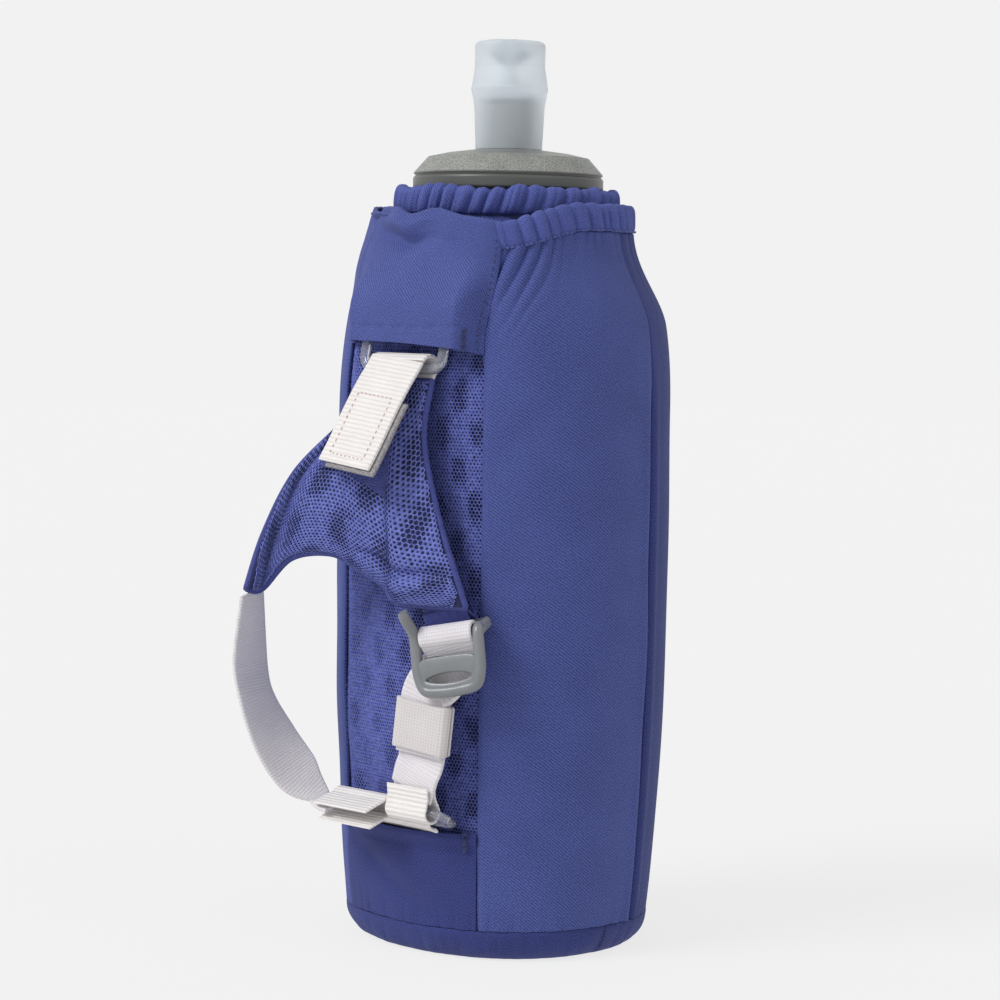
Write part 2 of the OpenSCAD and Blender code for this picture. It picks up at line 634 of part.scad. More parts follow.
pad_reach = 28;
pad_t = foam_t + 2 * face_t + 0.1;
// Edges of the pad, each point as shares of its reach, its stand-off and its height below the top
pad_left_edge = [[-0.98, 1, 1.03], [-0.957, 0.79, 0.76], [-0.76, 0.57, 0.462], [-0.38, 0.27, 0.2], [-0.3, 0, 0]];
pad_right_edge = [[1.01, 0.03, 1.06], [0.93, 0.07, 0.93], [0.69, 0.09, 0.634], [0.51, 0.11, 0.274], [0.5, 0, 0]];
pad_foot_edge = [[-0.98, 1, 1.03], [-0.97, 0.8, 1.035], [-0.71, 0.66, 0.878], [-0.29, 0.54, 0.842],
                 [-0.04, 0.42, 0.905], [0.22, 0.32, 0.98], [0.37, 0.246, 1.06], [1.01, 0.03, 1.06]];
pad_foot_knots = [0, 0.18, 0.34, 0.5, 0.62, 0.72, 0.78, 1];
pad_bulge = 2;

function in_mm(p) = [p[0] * pad_reach, pad_root_y - p[1] * pad_out, pad_top - p[2] * pad_h];
function along(points, t) = let (n = len(points) - 1, s = min(n - 0.0001, max(0, t * n)), i = floor(s)) spline_at(points, i, s - i);
function knot_span(u, i = 0) = u <= pad_foot_knots[i + 1] || i == len(pad_foot_knots) - 2 ? i : knot_span(u, i + 1);
function pad_foot(u) = let (i = knot_span(u), a = pad_foot_knots[i], b = pad_foot_knots[i + 1])
    in_mm(spline_at(pad_foot_edge, i, (u - a) / (b - a)));
function pad_head(u) = in_mm(mix(pad_left_edge[4], pad_right_edge[4], u));
function pad_left(v) = in_mm(along(pad_left_edge, v));
function pad_right(v) = in_mm(along(pad_right_edge, v));

// Point of the pad's middle surface: u runs from left to right, v from the foot to the top
function pad_point(u, v) = mix(pad_foot(u), pad_head(u), v) + mix(pad_left(v), pad_right(v), u)
    - mix(mix(pad_foot(0), pad_foot(1), u), mix(pad_head(0), pad_head(1), u), v)
    - [0, pad_bulge * 4 * u * (1 - u) * pow(sin(180 * min(1, max(0, v))), 1.5), 0];
function pad_normal(u, v) = let (e = 0.02, a = min(1 - e, max(0, u)), b = min(1 - e, max(0, v)))
    unit(cross(pad_point(a + e, b) - pad_point(a, b), pad_point(a, b + e) - pad_point(a, b)));

// Layer of the pad between two distances out from its middle surface, over a range of u and v
module pad_layer(outer, inner, us = [0, 1], vs = [0, 1], columns = 25, rows = 12) {
    function grid(out) = [for (i = [0 : columns]) [for (j = [0 : rows])
        let (u = mix(us[0], us[1], i / columns), v = mix(vs[0], vs[1], j / rows)) pad_point(u, v) + out * pad_normal(u, v)]];
    slab(grid(outer), grid(inner));
}

half_foam = foam_t / 2;
layer_skin = 0.08;
foam_inset = 0.012;

module pad_mesh() color("slateblue") pad_layer(half_foam + layer_skin + face_t, half_foam + layer_skin);
module pad_foam() color("lightgray")
    pad_layer(half_foam, -half_foam, [foam_inset, 1 - foam_inset], [foam_inset, 1 - foam_inset]);
module pad_lining() color("mediumblue") pad_layer(-half_foam - layer_skin, -half_foam - layer_skin - face_t);

// Soft half of the touch fastener, sewn to the pad under the flap
module loop_patch() {
    base = half_foam + 2 * layer_skin + face_t + 0.1;
    color("darkslateblue") pad_layer(base + fastener_t * 0.6, base, [0.36, 0.76], [0.5, 0.69], 6, 6);
}

// ---- Elastic strap ----

lower_drop = 6.4;
lower_tilt = 30;
lower_x = 2.75;
lower_pivot = [front_y(0, window_bottom + 3, mesh_depth - pin_wrap - anchor_t - 0.3), window_bottom + 3];
lower_bar = lower_pivot + lower_drop * [-cos(lower_tilt), sin(lower_tilt)];
loop_gap = 0.5;
left_loop_x = lower_x - (elastic_w + loop_gap) / 2;
right_loop_x = lower_x + (ribbon_w + loop_gap) / 2;
lip_len = 8.6;
left_lip_rise = -20;
right_lip_rise = 84;
// Middle of the lips of an end loop, at a distance out from the bar
function lip_at(rise, out) = lower_bar + out * [-cos(rise), sin(rise)];

// The left strap hangs from the pad's left tip, bulges to the left and tucks in between the lips
left_entry = left_loop_x - ribbon_w / 2;
left_tuck = lip_at(left_lip_rise, 6);
left_route = [[pad_left(0)[0] - 0.76, pad_left(0)[1] + 2.6, pad_left(0)[2] - 2], [-31.6, -60.6, 75], [-29.8, -59.5, 64.4], [-26.2, -56.2, 54],
              [-21.4, -52.4, 45.2], [left_entry - 2.6, left_tuck[0], left_tuck[1] + 3.1],
              [left_entry, left_tuck[0], left_tuck[1] + 0.7], [left_entry + 3.6, left_tuck[0], left_tuck[1]]];
left_side = [[-3.5, 12, -1], [-4, 14.4, -1.2], [-3, 14.6, -1.2], [1, 14, -0.8], [5, 13.5, 0.6], [0.7, 3.4, 1.4], [0.2, 3.4, 1.2], [0, 3.4, 1.2]];
left_width = [9.6, elastic_w, elastic_w, elastic_w, elastic_w * 0.86, 7.2, 5.2, 5];

module left_strap() {
    steps = 5;
    path = spline(left_route, steps);
    color("lightgray") ribbon(path, spline(left_side, steps), spline(left_width, steps), elastic_t);
}

// Buckle frame: the strap bar is its X axis, it leans out and is turned in its plane
buckle_at = [24.2, front_y(20.6, 84) - 5.6, pad_top - pad_h - 10.533];
buckle_lean = -5;
buckle_roll = -11;
buckle_yaw = 20;
module in_buckle() translate(buckle_at) rotate([0, 0, buckle_yaw]) rotate([buckle_lean, buckle_roll, 0]) children();
// World place of a point given in the buckle's frame
function from_buckle(p) =
    let (y = p[1] * cos(buckle_lean) - p[2] * sin(buckle_lean), z = p[1] * sin(buckle_lean) + p[2] * cos(buckle_lean),
         x = p[0] * cos(buckle_roll) + z * sin(buckle_roll))
    buckle_at + [x * cos(buckle_yaw) - y * sin(buckle_yaw), x * sin(buckle_yaw) + y * cos(buckle_yaw),
                 z * cos(buckle_roll) - p[0] * sin(buckle_roll)];

wrap_r = buckle_bar_r + play + elastic_t / 2;
layer_step = elastic_t + 0.2;
tail_len = 30;

// The right strap rises from the lower ring, wraps the buckle's bar from behind and comes back as a tail
right_foot = [right_loop_x, lip_at(right_lip_rise, 4.7)[0], lip_at(right_lip_rise, 4.7)[1]];
keeper_at = [16.8, -43.2, buckle_at[2] - 23.7];
strap_way = unit([1.4, 0.4, 14]);
keeper_hint = [cos(6), sin(6), 0];
keeper_side = unit(keeper_hint - strap_way * (keeper_hint * strap_way));
keeper_out = cross(keeper_side, strap_way);
bar_side = from_buckle([1, 0, 0]) - buckle_at;
wrap_back = from_buckle([0, wrap_r, 0]);
behind_bars = from_buckle([0, wrap_r + 0.1, -5]);
tail_start = from_buckle([0, 0.95, -5.8]);

module right_strap() {
    steps = 4;
    step_out = keeper_out * layer_step;
    low = keeper_at - strap_way * 7.4;
    high = keeper_at + strap_way * 7.4;
    rise = concat(spline([right_foot, mix(right_foot, low, 0.5) + [0.2, -0.3, 0], low], steps),
                  spline([high, mix(high, behind_bars, 0.5), behind_bars], steps));
    around = [for (k = [0 : 12]) let (a = k * 20) from_buckle([0, wrap_r * cos(a), wrap_r * sin(a)])];
    fall = concat(spline([tail_start, mix(high + step_out, tail_start, 0.5), high + step_out], 4),
                  [low + step_out]);
    path = concat(rise, around, fall);
    lower = len(rise);
    foot_side = [1, 0, 0];
    foot = 2 * steps;
    function side_at(i) = i <= foot ? mix(foot_side, keeper_side, i / foot)
        : i < lower ? mix(keeper_side, bar_side, min(1, (i - foot - 1) / foot))
        : i < lower + 13 ? bar_side : mix(bar_side, keeper_side, min(1, (i - lower - 13) / foot));
    color("gainsboro") ribbon(path, [for (i = [0 : len(path) - 1]) -side_at(i)], elastic_w, elastic_t);
}

// Elastic band round both layers of the right strap
module strap_keeper() {
    inner = [elastic_w + 2 * play, 2 * elastic_t + 0.2 + 2 * play];
    c = keeper_at + keeper_out * layer_step / 2;
    color("whitesmoke") multmatrix([for (k = [0 : 2]) [keeper_side[k], -keeper_out[k], strap_way[k], c[k]]])
        linear_extrude(keeper_h, center = true) difference() {
            rounded(inner[0] + 2 * keeper_t, inner[1] + 2 * keeper_t, 1.4);
            rounded(inner[0], inner[1], 0.6);
        }
}

// Buckle: two cheeks, the bar of the pad's tongue, a round strap bar, a grip plate and an arched foot bar
tongue_t = 0.8;
tongue_bar_r = 1.1;
tongue_bar = [5, 2.4];
horn_rise = 6.6;

module buckle() {
    inner_w = elastic_w + 2 * play;
    cheek_x = (inner_w + cheek_t) / 2;
    foot = -buckle_drop;
    back = [[tongue_bar[0], tongue_bar[1], 1.4], [-0.7, 0, 2]];
    front = [[-0.7, 0, 2], [-2, -4, 1.5], [-2, foot, 1.5]];
    module cheek(x, points) for (k = [0 : len(points) - 2]) hull()
        for (p = [points[k], points[k + 1]]) translate([x, p[0], p[1]]) rotate([0, 90, 0])
            cylinder(r = p[2], h = cheek_t, center = true, $fn = 24);
    color("dimgray") in_buckle() union() {
        cheek(-cheek_x, [[-6, horn_rise, 1.4], [-3.4, 3.4, 1.8], [-0.7, 0, 2]]);
        for (x = [-cheek_x, cheek_x]) {
            cheek(x, back);
            cheek(x, front);
        }
        translate([0, tongue_bar[0], tongue_bar[1]]) rotate([0, 90, 0])
            cylinder(r = tongue_bar_r, h = inner_w + 1, center = true, $fn = SMALL_FN);
        rotate([0, 90, 0]) cylinder(r = buckle_bar_r, h = inner_w + 1, center = true);
        translate([0, -1.5, -7]) cube([inner_w + 1, 1.6, 3.4], center = true);
        translate([0, -2.1, foot]) cube([inner_w + 1, 2.2, 2.6], center = true);
    }
}

// Tongue of lining cloth: back from the pad's right tip, round its bar and forward again
tongue_w = elastic_w - 2.4;
module pad_tongue() {
    r = tongue_bar_r + play + tongue_t / 2;
    top = pad_point(0.9, 0) + [0, 0.9, -1.4];
    edge = unit(pad_point(1, 0) - pad_point(0.8, 0));
    around = [for (k = [0 : 12]) let (a = mix(100, -138, k / 12))
        from_buckle([-0.7, tongue_bar[0] + r * cos(a), tongue_bar[1] + r * sin(a)])];
    path = concat([top + [0, -0.2, 0.45]], around, [top + [0, 0.6, -0.2]]);
    side = concat([edge], [for (p = around) bar_side], [edge]);
    color("mediumblue") ribbon(path, [for (e = side) -e], tongue_w, tongue_t);
}

// ---- Lower ring and its loops ----

lower_ring_w = elastic_w + ribbon_w + loop_gap + 1.6;

module lower_ring() color("gainsboro") translate([lower_x, lower_pivot[0], lower_pivot[1]])
    rotate([-lower_tilt, 0, 0]) clear_ring(lower_ring_w, lower_drop, clear_bar, 1.6);

module lower_anchor() {
    r = pin_wrap + anchor_t / 2;
    back = front_y(0, window_bottom, mesh_depth) - anchor_t;
    path = concat([[0, back, lower_pivot[1] + r + 2]], arc_yz(lower_pivot, r, 90, 270, 10), [[0, back, window_bottom + play]]);
    color("whitesmoke") translate([lower_x, 0, 0])
        ribbon(path, [for (p = path) [-1, 0, 0]], ribbon_w + 6, anchor_t);
}

// Ribbon loop round the lower ring's outer bar, whose two lips stand half_gap either side of its middle plane
module end_loop(x, w, rise, half_gap, len) {
    r = bar_wrap + anchor_t / 2;
    function lip(out, side) = let (p = lip_at(rise, out) + side * half_gap * [sin(rise), cos(rise)]) [0, p[0], p[1]];
    path = concat([lip(len, 1), lip(3.8, 1)], arc_yz(lower_bar, r, 125 - rise, -125 - rise, 14), [lip(3.8, -1), lip(len, -1)]);
    color("white") translate([x, 0, 0]) ribbon(path, [for (p = path) [-1, 0, 0]], w, anchor_t);
}

module left_end_loop() end_loop(left_loop_x, ribbon_w, left_lip_rise, 2.3, lip_len);
module right_end_loop() end_loop(right_loop_x, elastic_w, right_lip_rise, elastic_t / 2 + play + anchor_t / 2, 6.6);

flask_film();
neck_collar();
cap_seal();
screw_cap();
bite_valve();
liner();
neck_hem();
neck_elastic();
front_yoke();
mesh_window();
lower_panel();
side_panel_right();
side_panel_left();
back_panel();
pocket_hem();
pocket_elastic();
base_panel();
ring_anchor();
upper_ring();
tab_loop();
tab_flap();
hook_patch();
loop_patch();
pad_mesh();
pad_foam();
pad_lining();
left_strap();
right_strap();
strap_keeper();
buckle();
pad_tongue();
lower_ring();
lower_anchor();
left_end_loop();
right_end_loop();
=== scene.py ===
# %% [markdown]
# # A soft flask in a running sleeve
# This lesson dresses a solid model of a soft drinking flask. The solids come from the frame, where every
# piece already has its place. They are plain, so cloth, net, straps, rings and buckle are made again here
# as fine surfaces, each worked out with numpy from the sizes of the solid that it replaces.

# %% Load the frame and measure its box
import math

import bpy
import numpy as np
from mathutils import Matrix, Vector


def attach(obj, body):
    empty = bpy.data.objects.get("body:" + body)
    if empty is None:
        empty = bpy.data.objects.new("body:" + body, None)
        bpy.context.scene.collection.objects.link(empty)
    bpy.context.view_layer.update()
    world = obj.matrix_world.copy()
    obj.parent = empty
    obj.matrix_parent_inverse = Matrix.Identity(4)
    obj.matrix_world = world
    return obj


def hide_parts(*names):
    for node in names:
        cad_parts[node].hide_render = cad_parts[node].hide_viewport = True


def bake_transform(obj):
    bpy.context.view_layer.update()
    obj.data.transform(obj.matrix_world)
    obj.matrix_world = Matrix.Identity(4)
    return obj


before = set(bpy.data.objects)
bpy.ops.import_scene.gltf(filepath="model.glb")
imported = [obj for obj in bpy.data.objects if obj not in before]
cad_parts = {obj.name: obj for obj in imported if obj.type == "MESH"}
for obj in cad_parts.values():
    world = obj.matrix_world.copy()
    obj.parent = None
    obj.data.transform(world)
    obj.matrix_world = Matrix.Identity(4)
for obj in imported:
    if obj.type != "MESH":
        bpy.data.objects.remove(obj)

for name in ("Cube", "Light", "Camera"):
    if name in bpy.data.objects:
        bpy.data.objects.remove(bpy.data.objects[name])
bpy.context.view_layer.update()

# %% [markdown]
# The camera stands a little above the table and looks across the corner between the strap and the side
# pocket. A long lens keeps the flask's sides nearly parallel, as a product picture does.

# %% Camera
EYE = Vector((0.5657, -0.5657, 0.170))
AIM = Vector((0, 0, 0.122))
ROLL = math.radians(1.0)
forward = (AIM - EYE).normalized()
level = forward.cross(Vector((0, 0, 1))).normalized()
upright = level.cross(forward)
across = level * math.cos(ROLL) + upright * math.sin(ROLL)
up = upright * math.cos(ROLL) - level * math.sin(ROLL)
lens = bpy.data.cameras.new("camera")
lens.lens, lens.sensor_width = 108.25, 36
lens.shift_x, lens.shift_y = -0.003, -0.022
camera = bpy.data.objects.new("camera", lens)
camera.matrix_world = Matrix.Translation(EYE) @ Matrix((across, up, -forward)).transposed().to_4x4()
bpy.context.scene.collection.objects.link(camera)
bpy.context.scene.camera = camera

# %% [markdown]
# Colours are written as they look on screen, from 0 to 255, and turned into the linear light that Blender
# works in.

# %% Colours
def tone(r, g, b):
    """Linear colour of a screen colour: a power of 2.4 above a short straight foot."""
    s = np.array([r, g, b]) / 255
    return [float(v) for v in np.where(s > 0.04045, ((s + 0.055) / 1.055) ** 2.4, s / 12.92)] + [1.0]


# %% [markdown]
# A material is a small program. Writing it node by node hides the sums in it, so one class wraps a
# node's output and turns +, -, * and / into Math nodes. A finish can then be read as a formula.

# %% Sums written as Python
class Wire:
    """One number or colour that runs through a material's tree."""

    def __init__(self, finish, socket):
        self.finish, self.socket = finish, socket

    def sum(self, what, *terms):
        return self.finish.node("Math", {"operation": what}, terms)

    def __add__(self, other): return self.sum("ADD", self, other)
    def __radd__(self, other): return self.sum("ADD", other, self)
    def __sub__(self, other): return self.sum("SUBTRACT", self, other)
    def __rsub__(self, other): return self.sum("SUBTRACT", other, self)
    def __mul__(self, other): return self.sum("MULTIPLY", self, other)
    def __truediv__(self, other): return self.sum("DIVIDE", self, other)


# %% [markdown]
# Each finish is one material round the Principled shader. The same class makes every other node, so that
# a wave, a noise or a mix is one line.

# %% A finish
class Finish:
    """A material whose nodes are written as calls and sums."""

    def __init__(self, name, colour, rough, **fixed):
        self.material = bpy.data.materials.new(name)
        self.material.use_nodes = True
        self.tree = self.material.node_tree
        self.shader = next(n for n in self.tree.nodes if n.type == "BSDF_PRINCIPLED")
        self.material.diffuse_color = colour
        self.set("Base Color", colour)
        self.set("Roughness", rough)
        for key, value in fixed.items():
            self.set(key.replace("_", " ").title().replace("Ior", "IOR"), value)

    def join(self, value, socket):
        if isinstance(value, Wire):
            self.tree.links.new(value.socket, socket)
        else:
            socket.default_value = value

    def set(self, name, value):
        self.join(value, self.shader.inputs[name])

    def node(self, kind, settings=None, values=(), out=0):
        """A node of one kind: its settings come first, then the values or wires of its sockets."""
        made = self.tree.nodes.new("ShaderNode" + kind)
        for key, value in (settings or {}).items():
            setattr(made, key, value)
        named = values.items() if isinstance(values, dict) else enumerate(values)
        for key, value in named:
            self.join(value, made.inputs[key])
        return Wire(self, made.outputs[out])

    def place(self, surface=True):
        """The point on the surface, in millimetres: its own map where it has one, or the object's frame."""
        here = self.node("TexCoord", {}, (), "UV" if surface else "Object")
        return self.node("Mapping", {"vector_type": "POINT"}, {"Vector": here, "Scale": (1000, 1000, 1000)})

    def axes(self, here):
        apart = self.node("SeparateXYZ", {}, [here])
        return [Wire(self, apart.socket.node.outputs[k]) for k in range(3)]

    def noise(self, here, size, detail=2.0, rough=0.5, seed=0.0):
        """Soft noise from 0 to 1 whose lumps are about size millimetres wide."""
        moved = self.node("VectorMath", {"operation": "ADD"}, [here, (seed, seed * 1.7, 0)])
        return self.node("TexNoise", {}, {"Vector": moved, "Scale": 1 / size, "Detail": detail, "Roughness": rough})

    def waves(self, phase):
        """A wave from 0 to 1: half of one plus the sine of phase turns."""
        return self.node("Math", {"operation": "SINE"}, [phase * (2 * math.pi)]) * 0.5 + 0.5

    def blend(self, share, a, b):
        """Colour a where share is 0 and colour b where it is 1."""
        return self.node("Mix", {"data_type": "RGBA"}, {0: share, 6: a, 7: b}, 2)

    def step(self, value, low, high):
        """0 below low, 1 above high, and a straight ramp between them."""
        return self.node("MapRange", {"clamp": True}, {"Value": value, "From Min": low, "From Max": high})

    def relief(self, height, depth):
        """Raises the surface by height times depth, in millimetres."""
        self.set("Normal", self.node("Bump", {}, {"Height": height, "Strength": 1.0, "Distance": depth / 1000}))


# %% [markdown]
# The sleeve is cut from a stretch twill. Close up it shows fine slanting ribs, a little under a millimetre
# apart, and a heathered colour: some yarns take the dye better than others. The ribs are a wave along one
# diagonal of the cloth's own map, broken up by noise so that they never look printed.

# %% Twill
def twill(name, light, dark, rib=0.85, depth=0.13):
    f = Finish(name, light, 0.82, sheen_weight=0.02, sheen_roughness=0.5)
    here = f.place()
    u, v, _ = f.axes(here)
    wander = f.noise(here, 2.6, 2.0) * 0.9
    rows = f.waves((u * 0.8 + v) / rib + wander * 0.6)
    yarns = f.waves((u - v * 0.9) / (rib * 0.8) + wander * 0.6)
    fleck = f.noise(here, 0.42, 3.0, 0.7)
    cloud = f.noise(here, 14, 2.0, 0.5, 31)
    shade = rows * 0.34 + yarns * 0.14 + f.step(fleck, 0.4, 0.62) * 0.46 + f.step(cloud, 0.3, 0.7) * 0.1
    f.set("Base Color", f.blend(shade, dark, light))
    f.set("Roughness", 0.9 - rows * 0.12)
    f.relief(rows * 0.6 + yarns * 0.25 + fleck * 0.9, depth)
    return f.material


shell_cloth = twill("shell_twill", tone(87, 102, 175), tone(22, 31, 90))
# Painted shade: the lower front and the base take a darker copy of the twill, for the light that the tapering foot
# misses.
shaded_foot_cloth = twill("shaded_foot_twill", tone(54, 66, 140), tone(17, 24, 72))
# Painted shade: the back wall beyond the side pleat takes a darker copy of the same twill, for the shade it turns
# into.
shaded_back_cloth = twill("shaded_back_twill", tone(60, 74, 144), tone(16, 23, 78))
hem_cloth = twill("hem_twill", tone(98, 112, 190), tone(24, 34, 98), 0.75)
inner_cloth = twill("inner_twill", tone(46, 54, 104), tone(28, 34, 76))

# %% [markdown]
# The front and the hand pad are faced with a warp-knitted mesh. Its strands are real geometry here, and
# only the loops of yarn on the strands are left to the material.

# %% Net, its backing, and the pad's lining
def knit(name, light, dark, loop=0.5, rough=0.8, depth=0.06):
    f = Finish(name, light, rough, sheen_weight=0.1, sheen_roughness=0.45)
    here = f.place()
    u, v, _ = f.axes(here)
    loops = f.waves(u / loop) * f.waves(v / (loop * 0.8) + f.waves(u / (2 * loop)) * 0.5)
    fleck = f.noise(here, 1.2, 3.0, 0.6)
    f.set("Base Color", f.blend(loops * 0.45 + f.step(fleck, 0.3, 0.7) * 0.55, dark, light))
    f.relief(loops + fleck * 0.5, depth)
    return f.material


net_yarn = knit("net_yarn", tone(120, 132, 208), tone(60, 70, 146), 0.36)
pad_yarn = knit("pad_yarn", tone(134, 146, 222), tone(68, 78, 154), 0.36)
net_backing = knit("net_backing", tone(34, 40, 84), tone(16, 19, 46), 0.9, 0.9)
lining_knit = knit("lining_knit", tone(68, 78, 150), tone(44, 53, 118), 0.5, 0.75, 0.06)
loop_pile = knit("loop_pile", tone(88, 98, 168), tone(46, 54, 116), 0.7, 0.95, 0.2)
fastener_pile = knit("fastener_pile", tone(40, 47, 96), tone(22, 27, 62), 0.7, 0.95, 0.2)

# %% [markdown]
# Grosgrain ribbon has plump ribs straight across it, a little over a millimetre apart. Knitted elastic has
# fine wales along it and a fainter grid of rubber threads. Both are waves on the ribbon's own map, where u
# runs across the ribbon and v along it.

# %% Ribbons
def ribbed(name, light, dark, along, across_it, depth, grey=0.35):
    f = Finish(name, light, 0.85, sheen_weight=0.25, sheen_roughness=0.5)
    here = f.place()
    u, v, _ = f.axes(here)
    wander = f.noise(here, 3.0, 2.0) * 0.25
    ribs = f.waves(v / along + wander)
    wales = f.waves(u / across_it + wander)
    fleck = f.noise(here, 0.5, 3.0, 0.65)
    cloud = f.noise(here, 9, 2.0, 0.5, 12)
    shade = f.step(ribs, 0.0, 0.5) * (1 - grey) * 0.6 + wales * 0.2 + fleck * 0.35 + f.step(cloud, 0.3, 0.7) * 0.15
    f.set("Base Color", f.blend(shade, dark, light))
    f.relief(ribs + wales * 0.3 + fleck * 0.5, depth)
    return f.material


grosgrain = ribbed("grosgrain", tone(246, 243, 241), tone(206, 199, 196), 1.2, 0.35, 0.16)
elastic = ribbed("elastic", tone(236, 233, 236), tone(188, 183, 190), 0.8, 0.75, 0.06, 0.6)
keeper_knit = ribbed("keeper_knit", tone(222, 217, 217), tone(184, 177, 178), 0.9, 0.8, 0.08, 0.6)

# %% [markdown]
# The cap is moulded in grey plastic. Its slope was spark-textured in the mould, so its grains are smoother, and their
# glitter is painted in as lighter specks, while the grip band and the dome are smooth. A mask on the height picks the
# slope out.

# %% Plastics and silicone
SLOPE_FOOT, SLOPE_TOP = 202.5, 207.4


def moulded(name, colour, dark, rough=0.42):
    f = Finish(name, colour, rough, coat_weight=0.12, coat_roughness=0.3)
    here = f.place(surface=False)
    _, _, height = f.axes(here)
    grain = f.noise(here, 0.34, 3.0, 0.7)
    haze = f.noise(here, 5.5, 3.0, 0.6, 4)
    above_foot = f.step(height, SLOPE_FOOT - 0.1, SLOPE_FOOT + 0.2)
    slope = above_foot * (1 - f.step(height, SLOPE_TOP - 0.2, SLOPE_TOP + 0.2))
    # Painted glints: the specks on the slope are lighter in colour as well as smoother.
    speck = f.step(grain, 0.42, 0.66)
    # The band below the slope is coloured darker.
    band = 1 - f.step(height, SLOPE_FOOT - 0.9, SLOPE_FOOT - 0.4)
    # Painted shade: a dark line along the groove just below the slope's foot.
    groove = f.step(f.node("Math", {"operation": "ABSOLUTE"}, [height - (SLOPE_FOOT - 0.35)]), 0.3, 0.1)
    f.set("Base Color", f.blend(haze * 0.5 + speck * slope * 0.75 - band * 0.75 - groove * 0.4, dark, colour))
    f.set("Roughness", 0.36 + slope * 0.16 + haze * 0.12 - speck * slope * 0.2)
    f.relief(grain * (slope * 1.0 + 0.06), 0.16)
    return f.material


cap_plastic = moulded("cap_plastic", tone(168, 170, 164), tone(78, 80, 77))


def smooth_plastic(name, colour, dark, rough):
    f = Finish(name, colour, rough, coat_weight=0.25, coat_roughness=0.18)
    here = f.place(surface=False)
    haze = f.noise(here, 3.5, 3.0, 0.6)
    grain = f.noise(here, 0.3, 2.0, 0.6, 8)
    f.set("Base Color", f.blend(haze * 0.7 + grain * 0.3, dark, colour))
    f.set("Roughness", rough + haze * 0.12 - 0.06)
    f.relief(grain * 0.5 + haze, 0.03)
    return f.material


buckle_plastic = smooth_plastic("buckle_plastic", tone(128, 131, 135), tone(108, 111, 115), 0.34)
collar_plastic = smooth_plastic("collar_plastic", tone(128, 130, 127), tone(106, 108, 105), 0.36)


def see_through(name, colour, rough, clear, ior, cloudy, depth):
    f = Finish(name, colour, rough, transmission_weight=clear, ior=ior, coat_weight=0.1, coat_roughness=0.3)
    here = f.place(surface=False)
    haze = f.noise(here, cloudy, 3.0, 0.6)
    f.set("Roughness", rough - 0.06 + haze * 0.12)
    f.relief(haze, depth)
    return f.material


silicone = see_through("frosted_silicone", tone(232, 238, 243), 0.46, 0.72, 1.36, 1.6, 0.05)
seal_rubber = see_through("seal_silicone", tone(228, 228, 226), 0.5, 0.3, 1.4, 1.2, 0.04)
clear_plastic = see_through("clear_plastic", tone(226, 228, 238), 0.14, 0.86, 1.45, 6.0, 0.006)
film_plastic = see_through("flask_film", tone(226, 234, 242), 0.22, 0.8, 1.4, 6.0, 0.08)

# %% [markdown]
# Hook tape is a mat of nylon hooks: a fine, hard, greyish speckle that scatters light. Thread is twisted,
# so it gets slanting grooves. The elastic bands inside the hems never show, but they are finished too.

# %% Hook tape and thread
def hooks(name, light, dark):
    f = Finish(name, light, 0.55)
    here = f.place(surface=False)
    cells = f.node("TexVoronoi", {"feature": "F1"}, {"Vector": here, "Scale": 1.9})
    fleck = f.noise(here, 0.5, 2.0)
    f.set("Base Color", f.blend(f.step(cells, 0.1, 0.6) * 0.7 + fleck * 0.3, dark, light))
    f.relief(cells, 0.3)
    return f.material


hook_tape = hooks("hook_tape", tone(158, 155, 158), tone(98, 95, 99))


def thread(name, colour, dark):
    f = Finish(name, colour, 0.6, sheen_weight=0.2)
    here = f.place(surface=False)
    x, y, z = f.axes(here)
    twist = f.waves((x + y + z) / 0.3)
    f.set("Base Color", f.blend(twist, dark, colour))
    f.relief(twist, 0.05)
    return f.material


navy_thread = thread("navy_thread", tone(58, 66, 124), tone(30, 35, 78))
blue_thread = thread("blue_thread", tone(104, 118, 190), tone(48, 58, 128))
tan_thread = thread("tan_thread", tone(222, 196, 182), tone(176, 148, 136))

# %% [markdown]
# Every piece below is a grid of points or a profile carried along a path. One helper turns points and
# faces into an object, gives it its map, finish and body, and says which solids it stands for. Sizes are in
# millimetres until this helper turns them into metres.

# %% From points to a piece
MM = 0.001


def piece(name, points, faces, finish, body, uv=None, nodes=(), sharp=None, solid=0.0):
    """Object at the origin with the given points, one map value per point, and an optional inward wall."""
    mesh = bpy.data.meshes.new(name)
    where = (np.asarray(points, float).reshape(-1, 3) * MM).tolist()
    mesh.from_pydata(where, [], [list(map(int, f)) for f in faces])
    mesh.polygons.foreach_set("use_smooth", np.ones(len(mesh.polygons), bool))
    if uv is not None:
        corners = np.zeros(len(mesh.loops), np.int32)
        mesh.loops.foreach_get("vertex_index", corners)
        flat = np.asarray(uv, float).reshape(-1, 2)[corners] * MM
        mesh.uv_layers.new(name="cloth_map").data.foreach_set("uv", flat.astype(np.float32).ravel())
    mesh.materials.append(finish)
    mesh.validate()
    made = bpy.data.objects.new(name, mesh)
    bpy.context.scene.collection.objects.link(made)
    if solid:
        wall = made.modifiers.new("wall", "SOLIDIFY")
        wall.thickness, wall.offset, wall.use_even_offset = solid * MM, -1, False
        made = settle(made)
    if sharp:
        made.data.set_sharp_from_angle(angle=math.radians(sharp))
    if nodes:
        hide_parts(*nodes)
    if body:
        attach(made, body)
    return made


def settle(obj):
    """Applies the live modifiers, so that the object holds the finished mesh before it is attached to a body."""
    shape = bpy.data.meshes.new_from_object(obj.evaluated_get(bpy.context.evaluated_depsgraph_get()))
    obj.modifiers.clear()
    obj.data = shape
    return obj


